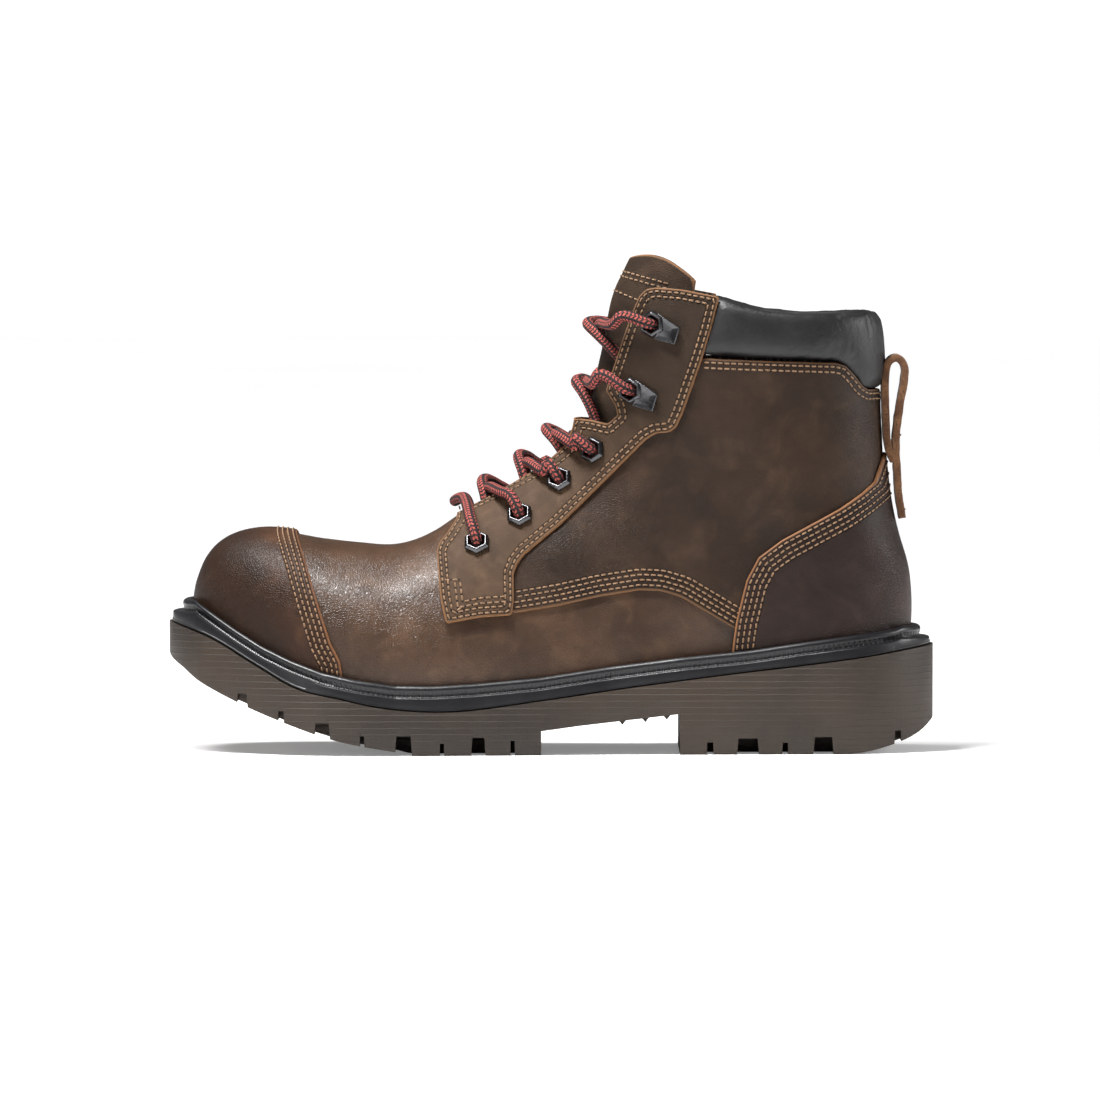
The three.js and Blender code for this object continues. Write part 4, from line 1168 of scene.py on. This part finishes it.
def add_quarters():
    rows = (2.0, 2.05, 4)
    material = leather("quarter_leather", srgb(36, 24, 16), srgb(53, 37, 25), srgb(82, 60, 43), (0.36, 0.54),
                       rows=rows, edge_tint=srgb(116, 84, 58))
    cover = covered_by(within(QUARTER), outside_throat, outside_holes)
    seam = seam_distance(QUARTER_BOTTOM + [(90, 40)], within(QUARTER))
    for side, label in SIDE_NAMES.items():
        sheet = surface_grid(11, 31, 0, 1, side)
        panel = leather_panel(f"quarter_leather_{label}", sheet, cover, LEVEL["middle"],
                              [material, RAW_TAN], relief=rolling(0.7, 20, 9.0 * side), seam=seam)
        finish_piece(panel, f"quarter_{label}")
        add_rows(f"quarter_stitches_{label}", sheet, "seam", *rows)
        sheet.add_field("collar", line_distance(sheet.points, COLLAR_SEAM))
        add_rows(f"collar_stitches_{label}", sheet, "collar", 1.6, 2.2, 2)


# The stitched box at the foot of the eyestay.
BOX_ROWS = [
    [(-38.4, 70), (-37.1, 59.4), (-28, 61), (-16, 61.8)],
    [(-36.3, 70), (-35.2, 61.7), (-28, 63.1), (-16, 63.9)],
    [(-43.8, 70.4), (-36, 70.4)],
]


def add_eyestays():
    rows = (1.5, 2.1, 2)
    # The nubuck darkens with height, from 105 to 150 mm up: painted shade, where the upright upper eyestay
    # gets less of the overhead light.
    material = leather("eyestay_nubuck", srgb(62, 46, 33), srgb(84, 64, 48), srgb(114, 91, 71), (0.6, 0.76),
                       grain=0.08, rows=rows, edge_tint=srgb(128, 92, 62), mottle=40,
                       shade=("height", 0.105, 0.15, srgb(36, 26, 18)))
    outline = covered_by(within(EYESTAY), outside_throat)
    for side, label in SIDE_NAMES.items():
        sheet = surface_grid(9.6, 31, 0, 0.97, side)
        panel = leather_panel(f"eyestay_nubuck_{label}", sheet, covered_by(outline, outside_holes),
                              LEVEL["outer"], [material, RAW_TAN],
                              relief=rolling(0.3, 14, 3.0 * side), seam=outline)
        finish_piece(panel, f"eyestay_{label}")
        add_rows(f"eyestay_stitches_{label}", sheet, "seam", *rows)
        add_drawn_stitches(f"box_stitches_{label}", sheet, BOX_ROWS)


def add_heel_cover():
    sheet = surface_grid(13.5, 26, 0, 1, "heel")
    rows = (1.7, 2.15, 4)
    cover = within(HEEL_COVER)
    material = leather("heel_leather", srgb(36, 24, 20), srgb(50, 35, 29), srgb(70, 52, 44), (0.32, 0.46),
                       rows=rows, edge_tint=srgb(140, 96, 64), mottle=24)
    panel = leather_panel("heel_leather", sheet, cover, LEVEL["outer"], [material, RAW_TAN],
                          relief=rolling(0.4, 20, 2.0), seam=seam_distance(HEEL_EDGE, cover))
    finish_piece(panel, "heel_cover")
    add_rows("heel_stitches", sheet, "seam", *rows)


def add_lining():
    sheet = surface_grid(0, 31, 0, 1, "heel", per_station=6, columns=60)
    cover = covered_by(within(LINING), outside_throat, lambda points: outside_holes(points, 4.0))
    panel = leather_panel("lining_textile", sheet, cover, LEVEL["lining"], [TEXTILE, TEXTILE])
    finish_piece(panel, "lining")


def add_toe_lining():
    sheet = surface_grid(0, 8, 0, 1, "ridge", per_station=5, columns=40)
    outline = [(-160, 15), (-160, 110), (-93, 110), (-93, 15)]
    panel = leather_panel("toe_textile", sheet, within(outline), LEVEL["toe_lining"], [TEXTILE, TEXTILE])
    finish_piece(panel, "toe_lining")


# ---------------------------------------------------------------- padded pieces

def pillow(name, sheet, levels, roll, materials):
    """A closed padded form over a sheet with an edge field: thick inside, thin at its edges."""
    low, high = levels
    middle, half = (low + high) / 2, (high - low) / 2
    for depth in (0.25, 1.0, 2.5):
        sheet.split("edge", depth, drop=False)
    sheet.drop_unused()
    swell = half * quarter_round(sheet.field("edge") / roll)
    top = sheet.points + sheet.normals * (middle + swell)[:, None]
    bottom = sheet.points + sheet.normals * (middle - swell)[:, None]
    faces = closed_faces(sheet.triangles, len(top))
    return make_mesh(name, np.vstack([top, bottom]), faces, materials)


def apply_modifiers(obj):
    """Replaces the mesh by its evaluated one, and drops the modifiers."""
    evaluated = obj.evaluated_get(bpy.context.evaluated_depsgraph_get())
    mesh = bpy.data.meshes.new_from_object(evaluated)
    obj.modifiers.clear()
    obj.data = mesh


def remesh(obj, voxel):
    modifier = obj.modifiers.new("remesh", "REMESH")
    modifier.mode, modifier.voxel_size, modifier.use_smooth_shade = "VOXEL", voxel * MM, True
    apply_modifiers(obj)


CLOTH_FRAMES = 20


def swell_as_cloth(obj, pressure, growth, reach):
    """Lets the piece swell as cloth under pressure. No point moves further than reach."""
    rest = np.array([v.co for v in obj.data.vertices])
    cloth = obj.modifiers.new("cloth", "CLOTH")
    cloth.settings.quality = 6
    cloth.settings.mass = 0.05
    cloth.settings.use_pressure = True
    cloth.settings.uniform_pressure_force = pressure
    cloth.settings.effector_weights.gravity = 0
    cloth.settings.shrink_min = -growth
    cloth.settings.tension_stiffness = 12
    cloth.settings.bending_stiffness = 0.02
    cloth.point_cache.frame_start, cloth.point_cache.frame_end = 1, CLOTH_FRAMES
    for frame_number in range(1, CLOTH_FRAMES + 1):
        bpy.context.scene.frame_set(frame_number)
    apply_modifiers(obj)
    bpy.context.scene.frame_set(1)
    moved = np.array([v.co for v in obj.data.vertices]) - rest
    far = np.linalg.norm(moved, axis=1, keepdims=True)
    kept = rest + moved * np.minimum(1, reach * MM / np.maximum(far, 1e-9))
    obj.data.vertices.foreach_set("co", kept.astype(np.float32).ravel())


def inflate(obj, voxel, pressure, growth, reach):
    remesh(obj, voxel)
    swell_as_cloth(obj, pressure, growth, reach)
    subdivision = obj.modifiers.new("subdivision", "SUBSURF")
    subdivision.levels = subdivision.render_levels = 1
    apply_modifiers(obj)
    shade_smooth(obj)


def add_collar():
    sheet = surface_grid(24, 31, 0.15, 1, "heel", per_station=10, columns=80)
    raised = sheet.points + sheet.normals * COLLAR_FACE
    sheet.add_field("edge", inside_distance(raised, COLLAR))
    sheet.split("edge", 0, drop=True)
    collar = pillow("collar_padding", sheet, LEVEL["collar"], 7.5, [SOFT_LEATHER])
    inflate(collar, voxel=1.9, pressure=5.0, growth=0.05, reach=1.3)
    finish_piece(collar, "collar")


TONGUE_FRONT = 10.3
TONGUE_ROWS = [
    [(28.8, 194.2), (49.5, 188.6)], [(28.4, 192.2), (49, 186.6)], [(25, 186.7), (36, 182.2)],
]


def tongue_reach(k):
    """How far round the section the tongue goes, wider toward its top."""
    return 0.3 + 0.1 * np.clip((k - 10) / 14, 0, 1)


def tongue_top(part):
    """Station of the tongue's top, part being 0 in its middle and 1 at its edges."""
    return 30.9 - 1.5 * part ** 4


def tongue_grid(first, shorten, narrow, rows=150, columns=22):
    """The tongue's face, from station first up to its rounded top, with its edge field."""
    part = np.abs(np.arange(-columns, columns + 1)) / columns
    side = np.where(np.arange(-columns, columns + 1) < 0, OUTER, INNER)
    share = np.linspace(0, 1, rows + 1)
    k = first + (tongue_top(part)[None, :] - shorten - first) * share[:, None]
    u = tongue_reach(k) * narrow * part[None, :]
    place = k.ravel(), u.ravel(), np.broadcast_to(side, k.shape).ravel()
    sheet = Sheet(face_points(*place), face_normals(*place), grid_triangles(rows, 2 * columns))
    rim = np.unique(boundary_edges(sheet.triangles))
    gaps = np.linalg.norm(sheet.points[:, None, :] - sheet.points[None, rim, :], axis=2)
    sheet.add_field("edge", gaps.min(1))
    return sheet


def add_tongue():
    sheet = tongue_grid(TONGUE_FRONT, 0.0, 1.0)
    whole = sheet.field("edge") + 0.001     # positive throughout, so that nothing is cut off
    material = leather("tongue_leather", srgb(38, 27, 18), srgb(54, 39, 27), srgb(80, 60, 44), (0.5, 0.68),
                       edge_tint=srgb(120, 86, 58))
    panel = leather_panel("tongue_leather", sheet, lambda points: whole, LEVEL["tongue"],
                          [material, RAW_TAN], relief=rolling(0.5, 12, 4.0))
    finish_piece(panel, "tongue")
    add_drawn_stitches("tongue_bar_stitches", sheet, TONGUE_ROWS)


def add_tongue_pad():
    sheet = tongue_grid(11, 0.7, 0.9, 110, 16)
    pad = pillow("tongue_padding", sheet, LEVEL["tongue_pad"], 4.0, [TEXTILE])
    inflate(pad, voxel=1.7, pressure=3.0, growth=0.03, reach=0.5)
    finish_piece(pad, "tongue_pad")


def add_footbed():
    """The footbed, softened from its CAD solid."""
    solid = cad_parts["footbed"]
    footbed = bpy.data.objects.new("footbed_cover", solid.data.copy())
    bpy.context.collection.objects.link(footbed)
    footbed.data.materials.clear()
    footbed.data.materials.append(knit("footbed_knit", srgb(30, 30, 31), srgb(62, 62, 64), 2.2))
    remesh(footbed, 1.6)
    smooth = footbed.modifiers.new("smooth", "SMOOTH")
    smooth.factor, smooth.iterations = 0.5, 12
    apply_modifiers(footbed)
    finish_piece(footbed, "footbed")


# ---------------------------------------------------------------- pull loop

STRAP_THICKNESS = 3.0
STRAP_HALF_WIDTH = 8.0
STRAP_CORNER = 0.55             # radius of the strap's long edges
STRAP_WAIST = 0.04              # share by which it is narrower midway
STRAP_NAP = 0.22                # unevenness of its faces
PULL_LOOP = [
    (139.4, 117), (137.6, 121), (136.6, 126), (136, 138), (135.9, 151), (137.4, 157.4),
    (140.6, 158.9), (143.5, 156), (143.7, 151), (142, 141), (140.7, 132), (140.2, 125),
]
PULL_TAIL = [(140.7, 113), (141.4, 103), (142.8, 94)]


def strap_section():
    """The strap's section as (y, height), the upper face first."""
    half, thick, soft = STRAP_HALF_WIDTH, STRAP_THICKNESS / 2, STRAP_CORNER
    across = np.linspace(-half + soft, half - soft, 15)
    corner = [(half - soft + soft * math.sin(a), thick - soft + soft * math.cos(a)) for a in (0.4, 0.8, 1.2)]
    upper = [(-y, h) for y, h in reversed(corner)] + [(y, thick) for y in across] + corner
    return upper + [(y, -h) for y, h in reversed(upper)]


def strap(name, route, material):
    """A suede strap along a route in side view, with soft edges and napped, uneven faces."""
    path = even_steps(smooth_curve([(x, 0, z) for x, z in route]), 0.8)
    tangents = np.gradient(path, axis=0)
    tangents /= np.linalg.norm(tangents, axis=1, keepdims=True)
    section = strap_section()
    vertices = []
    for i, (point, normal) in enumerate(zip(path, np.cross(tangents, (0, 1, 0)))):
        narrow = 1 - STRAP_WAIST * math.sin(math.pi * i / (len(path) - 1)) ** 2
        for y, h in section:
            rough = noise.noise(Vector((point[0], y, point[2] + h)) / 3.0) * STRAP_NAP
            vertices.append(point + np.array((0, y * narrow, 0)) + normal * (h + rough * np.sign(h)))
    count = len(section)
    faces = ring_faces(count, len(path))
    last = (len(path) - 1) * count
    for i in range(count // 2 - 1):
        a, b, c, d = i, i + 1, count - 2 - i, count - 1 - i
        faces += [(a, d, c, b), (last + a, last + b, last + c, last + d)]
    piece = make_mesh(name, vertices, faces, [material])
    shade_smooth(piece, 60)
    return piece


def strap_stitches(name, x, z, lean):
    """A row of stitches across the strap's outer face."""
    margin, count = 1.5, 30
    y = np.linspace(-STRAP_HALF_WIDTH + margin, STRAP_HALF_WIDTH - margin, count)
    places = np.stack([np.full(count, x), y, np.full(count, z)], 1)
    normals = np.tile((math.cos(lean), 0, math.sin(lean)), (count, 1))
    return stitches(name, [np.hstack([places, normals])], THREAD_BROWN, NEEDLE_HOLE_SHADE)


def add_pull_loop():
    """One strap: sewn on at the bottom, up, over the fold, down again and on to its free end."""
    material = suede("pull_suede", srgb(94, 60, 36), srgb(124, 86, 55), srgb(66, 42, 26))
    pull = strap("pull_suede", PULL_LOOP + PULL_TAIL, material)
    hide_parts("pull_loop", "pull_tail")
    for piece in (pull, strap_stitches("pull_stitches", 141.95, 127.6, 0.1)):
        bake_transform(piece)
    finish_piece(strap_stitches("pull_end_stitches", 143.75, 97.5, 0.08))


# ---------------------------------------------------------------- lacing hardware

BORE_RADIUS = 3.3
BARREL_RADIUS = 3.75
EYELET_RADIUS = 5.6


def fitting_frame(row, side):
    """Local axes of a fitting: x toward the heel, z out of the leather."""
    k, u = locate(*row, side)
    out = face_normals(k, u, side)[0]
    right = np.array((1.0, 0, 0)) - out * out[0]
    right /= np.linalg.norm(right)
    return face_points(k, u, side)[0], right, np.cross(out, right), out


def hex_ring():
    """Vertices and faces of the hexagonal eyelet, turned from its profile."""
    profile = [
        (BORE_RADIUS, -4.3), (BARREL_RADIUS, -4.3), (BARREL_RADIUS, 3.7), (EYELET_RADIUS - 0.25, 3.7),
        (EYELET_RADIUS, 3.95), (EYELET_RADIUS, 4.6), (EYELET_RADIUS - 0.55, 5.3),
        (BARREL_RADIUS + 0.75, 5.8), (BARREL_RADIUS + 0.25, 5.8), (BORE_RADIUS + 0.1, 5.3),
        (BORE_RADIUS, 4.6),
    ]
    turns = [math.radians(90 + 60 * i) for i in range(6)]
    vertices = [(r * math.cos(turn), r * math.sin(turn), z) for turn in turns for r, z in profile]
    return vertices, loop_faces(len(profile), 6)


def hook_flap(side):
    """The hook's flap, a dished plate to the rear and below the ring."""
    corners = [(2.6, 4.4), (12.2, -1.6), (10, -8.4), (1, -6.2), (3.2, -2.8), (3.9, 0)]
    heights_and_sizes = [(4.0, 1.0), (4.9, 1.0), (5.25, 0.95), (4.9, 0.8), (4.45, 0.5)]
    outline = [(x, -side * y) for x, y in corners]
    middle = np.mean(outline, axis=0)
    vertices = []
    for z, size in heights_and_sizes:
        vertices += [(middle[0] + (x - middle[0]) * size, middle[1] + (y - middle[1]) * size, z)
                     for x, y in outline]
    n = len(outline)
    faces = ring_faces(n, len(heights_and_sizes))
    faces += [list(range(n))[::-1], list(range(len(vertices) - n, len(vertices)))]
    if side == INNER:
        faces = [list(face)[::-1] for face in faces]
    return vertices, faces


def soften_edges(obj, width, angle, sharp):
    """Bevels corners of more than angle degrees, and shades the rest smooth."""
    bevel = obj.modifiers.new("bevel", "BEVEL")
    bevel.width, bevel.segments, bevel.limit_method = width * MM, 2, "ANGLE"
    bevel.angle_limit = math.radians(angle)
    apply_modifiers(obj)
    shade_smooth(obj, sharp)


def add_fitting(name, row, side, hooked):
    origin, right, up, out = fitting_frame(row, side)
    vertices, faces = hex_ring()
    if hooked:
        more, plates = hook_flap(side)
        faces = faces + [[i + len(vertices) for i in plate] for plate in plates]
        vertices = vertices + more
    world = [origin + right * x + up * y + out * z for x, y, z in vertices]
    fitting = make_mesh(f"{name}_metal", world, faces, [GUNMETAL], smooth=False)
    soften_edges(fitting, 0.16, 20, 35)
    finish_piece(fitting, name)


def add_hardware():
    for side, label in SIDE_NAMES.items():
        for i, row in enumerate(EYELETS):
            add_fitting(f"eyelet_{label}_{i + 1}", row, side, False)
        for i, row in enumerate(HOOKS):
            add_fitting(f"hook_{label}_{i + 1}", row, side, True)


# ---------------------------------------------------------------- sole

BAND_LINE = [
    (-156, 53), (-142, 48.6), (-134, 45), (-118, 35.7), (-102, 27), (-85, 23), (-69, 19.5),
    (-53, 17.9), (-36, 17.9), (-4, 21.9), (36, 27.6), (77, 32.9), (101, 35.7), (126, 39), (156, 43.6),
]
GROUND_LINE = [
    (-156, 42.5), (-153.4, 38.1), (-148, 34), (-142, 29.2), (-127, 21.4), (-110, 14.3),
    (-89, 6.9), (-77, 4.1), (-62, 1.5), (-55, 0), (120, 0), (137, 3.2), (149, 8.1), (156, 14),
]
NOTCHES = [
    (-125.8, -122.1, 4.5), (-109.2, -107.1, 4.2), (-94.2, -88.9, 5.5), (-76.3, -74.7, 4.2),
    (-61.7, -56, 7.3), (-44.2, -42.6, 5), (-31.2, -26.4, 7.3), (-15.8, -14.2, 6),
    (63.3, 65.7, 5), (75.9, 83.6, 6.5), (93.7, 95.8, 4.8), (106.7, 113.6, 7), (139.2, 141.6, 4.8),
]
ARCH = [(-3.6, 9.7), (12.2, 11.8), (28.4, 13.6), (52.3, 16.4)]
ARCH_RIBS = [29.2, 38.5, 47.1]
LUG_DEPTH = 20
SOLE_FLARE = 1.4
GAP = 0.3
# By station: how far the covers stand off the vamp, and how wide the welt is.
COVER_STATIONS = ([0, 8, 9, 13, 14, 20], [1.6, 1.6, 0, 0, 3.2, 3.2])
WELT_STATIONS = ([0, 3, 4, 7, 8, 16, 17, 20], [8, 8, 6.4, 6.4, 5, 5, 7.6, 7.6])


def rounded_line(line):
    """A line of heights with its corners eased."""
    curve = smooth_curve([(x, 0, z) for x, z in line], 8)
    return curve[:, 0], curve[:, 2]


BAND = rounded_line(BAND_LINE)
GROUND = rounded_line(GROUND_LINE)
SOLE_STATIONS = STATIONS[:LAST_SOLE_STATION + 1]
FEATHER = ([-160, *SOLE_STATIONS[:, 2], 160],
           [SOLE_STATIONS[0, 3], *SOLE_STATIONS[:, 3], SOLE_STATIONS[-1, 3]])


def feather_height(x):
    """Where the upper meets the welt."""
    return np.interp(x, *FEATHER)


def band_height(x):
    """Where the welt meets the outsole."""
    return np.interp(x, *BAND)


def ground_height(x):
    return np.maximum(np.interp(x, *GROUND), 0)


def sole_outline():
    """Station, place and outward direction round the foot of the upper."""
    ks = np.linspace(0, LAST_SOLE_STATION, 201)
    outer, inner = face_points(ks, 1, OUTER), face_points(ks, 1, INNER)
    heel = (outer[-1] + inner[-1]) / 2 + np.array((0.5, 0, 0))
    points = np.vstack([outer, heel[None, :], inner[::-1]])[:, :2]
    stations = np.r_[ks, LAST_SOLE_STATION, ks[::-1]]
    tangent = np.roll(points, -3, 0) - np.roll(points, 3, 0)
    tangent /= np.linalg.norm(tangent, axis=1, keepdims=True)
    outward = np.stack([tangent[:, 1], -tangent[:, 0]], 1)
    return stations, points, outward


def add_welt():
    """The welt: a round bead, a knurled groove and a flat band with a thin line at its foot."""
    stations, points, outward = sole_outline()
    wide = np.interp(stations, *WELT_STATIONS)
    cover = np.interp(stations, *COVER_STATIONS) + GAP
    radius = 1.95
    arc = [(2.05 + radius * math.cos(a), -radius + radius * math.sin(a))
           for a in np.radians(np.arange(165, -50, -24))]
    bead = [(0, -2)] + arc + [(3.5, -4.1), (3.9, -4.7)]
    edge = [(-0.9, -4.8), (-0.25, -5), (0, -5.5)]
    line = [(0, 1.3), (0.3, 1), (0.3, 0.35), (0, 0.1), (-0.1, 0)]
    # Each column runs round the sole: its reach outward, the line it follows and its height over it.
    columns = [(0 * wide, band_height, 0)]
    columns += [(e + 0 * wide, feather_height, dz) for e, dz in bead]
    columns += [(e + wide, feather_height, dz) for e, dz in edge]
    columns += [(e + wide, band_height, dz) for e, dz in line]
    count = len(columns)
    along = np.r_[0, np.cumsum(np.linalg.norm(np.diff(points, axis=0), axis=1))]
    vertices, lengths, across = [], [], []
    for i in range(len(points)):
        for j, (e, height, dz) in enumerate(columns):
            x, y = points[i] + outward[i] * (cover[i] + e[i])
            vertices.append((x, y, height(x) + dz))
            lengths.append(along[i])
            across.append(j / (count - 1))
    welt = make_mesh("welt_rubber", vertices, loop_faces(count, len(points)), [black_rubber()],
                     floats={"along": lengths, "across": across})
    shade_smooth(welt, 48)
    finish_piece(welt, "welt")


def side_prism(outline, y0, y1):
    """Vertices and faces of a side-view outline extruded across the boot."""
    n = len(outline)
    vertices = [(x, y0, z) for x, z in outline] + [(x, y1, z) for x, z in outline]
    faces = [list(range(n)), [n + i for i in range(n)][::-1]]
    faces += [(i, n + i, n + (i + 1) % n, (i + 1) % n) for i in range(n)]
    return vertices, faces


def solid_mesh(name, shapes):
    """Several closed shapes as one mesh with outward normals."""
    vertices, faces = [], []
    for more, plates in shapes:
        faces += [[i + len(vertices) for i in plate] for plate in plates]
        vertices += list(more)
    obj = make_mesh(name, vertices, faces, [])
    mesh = bmesh.new()
    mesh.from_mesh(obj.data)
    bmesh.ops.recalc_face_normals(mesh, faces=mesh.faces)
    mesh.to_mesh(obj.data)
    mesh.free()
    return obj


def combine(obj, tool, operation):
    boolean = obj.modifiers.new("combine", "BOOLEAN")
    boolean.object, boolean.operation, boolean.solver = tool, operation, "EXACT"
    apply_modifiers(obj)
    bpy.data.objects.remove(tool)


def lug_cutters(edges):
    """The side notches between the lugs, and the arch between forefoot and heel."""
    shapes = [side_prism([(ARCH[0][0], -5), *ARCH, (ARCH[-1][0], -5)], -80, 80)]
    for x0, x1, height in NOTCHES:
        ground = float(ground_height((x0 + x1) / 2))
        slope = min((x1 - x0) * 0.18, 1.2)
        low, high = ground - 6, ground + height
        outline = [(x0 - slope, low), (x1 + slope, low), (x1, high), (x0, high)]
        for side in (OUTER, INNER):
            near = edges[np.sign(edges[:, 1] - 2) == side]
            y = near[np.argmin(np.abs(near[:, 0] - x0)), 1]
            shapes.append(side_prism(outline, *sorted((y - side * LUG_DEPTH, side * 80))))
    return shapes


def arch_ribs():
    """Three small teeth across the arch, between the forefoot and the heel."""
    shapes = []
    for x in ARCH_RIBS:
        z = float(np.interp(x, *zip(*ARCH)))
        tooth = [(x - 2.2, z + 1), (x - 1.9, z - 0.1), (x, z - 2.4), (x + 1.9, z - 0.1), (x + 2.2, z + 1)]
        shapes.append(side_prism(tooth, -30, 26))
    return shapes


def sole_slab(edges):
    """The sole before it is cut: from the ground line up to just below the band line."""
    n = len(edges)
    top, bottom = band_height(edges[:, 0]) - GAP, ground_height(edges[:, 0])
    vertices = [(x, y, z) for heights in (bottom, top) for (x, y), z in zip(edges, heights)]
    ladder = [(i, i + 1, n - 2 - i, n - 1 - i) for i in range(n // 2 - 1)]
    faces = [(i, (i + 1) % n, n + (i + 1) % n, n + i) for i in range(n)]
    faces += [plate[::-1] for plate in ladder]
    faces += [tuple(n + i for i in plate) for plate in ladder]
    return vertices, faces


def add_outsole():
    stations, points, outward = sole_outline()
    reach = np.interp(stations, *COVER_STATIONS) + GAP + np.interp(stations, *WELT_STATIONS) + SOLE_FLARE
    edges = points + outward * reach[:, None]
    sole = solid_mesh("sole_rubber", [sole_slab(edges)])
    combine(sole, solid_mesh("cutters", lug_cutters(edges)), "DIFFERENCE")
    combine(sole, solid_mesh("ribs", arch_ribs()), "UNION")
    soften_edges(sole, 0.45, 38, 30)
    sole.data.materials.clear()
    sole.data.materials.append(gum_rubber())
    sole.data.polygons.foreach_set("material_index", np.zeros(len(sole.data.polygons), np.int32))
    finish_piece(sole, "outsole")


# ---------------------------------------------------------------- pieces inside

def finish_inside():
    """Materials for the CAD solids that stay as they are, inside the boot."""
    steel = hidden_stuff("pressed_steel", srgb(130, 132, 134), srgb(160, 162, 164), 0.35, 1.0)
    board = hidden_stuff("fibre_board", srgb(132, 110, 82), srgb(160, 138, 106), 0.85)
    foam = hidden_stuff("sole_foam", srgb(40, 40, 42), srgb(56, 56, 58), 0.85)
    kept = {
        "steel_toe_cap": steel, "steel_shank": steel, "insole_board": board, "heel_stiffener": board,
        "midsole": foam,
    }
    for name, material in kept.items():
        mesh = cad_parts[name].data
        mesh.materials.clear()
        mesh.materials.append(material)


add_camera()
add_floor()
add_world()
add_lights()
add_lace()
add_outsole()
add_welt()
add_vamp()
add_toe_cover()
add_quarters()
add_eyestays()
add_heel_cover()
add_lining()
add_toe_lining()
add_collar()
add_tongue()
add_tongue_pad()
add_footbed()
add_pull_loop()
add_hardware()
finish_inside()
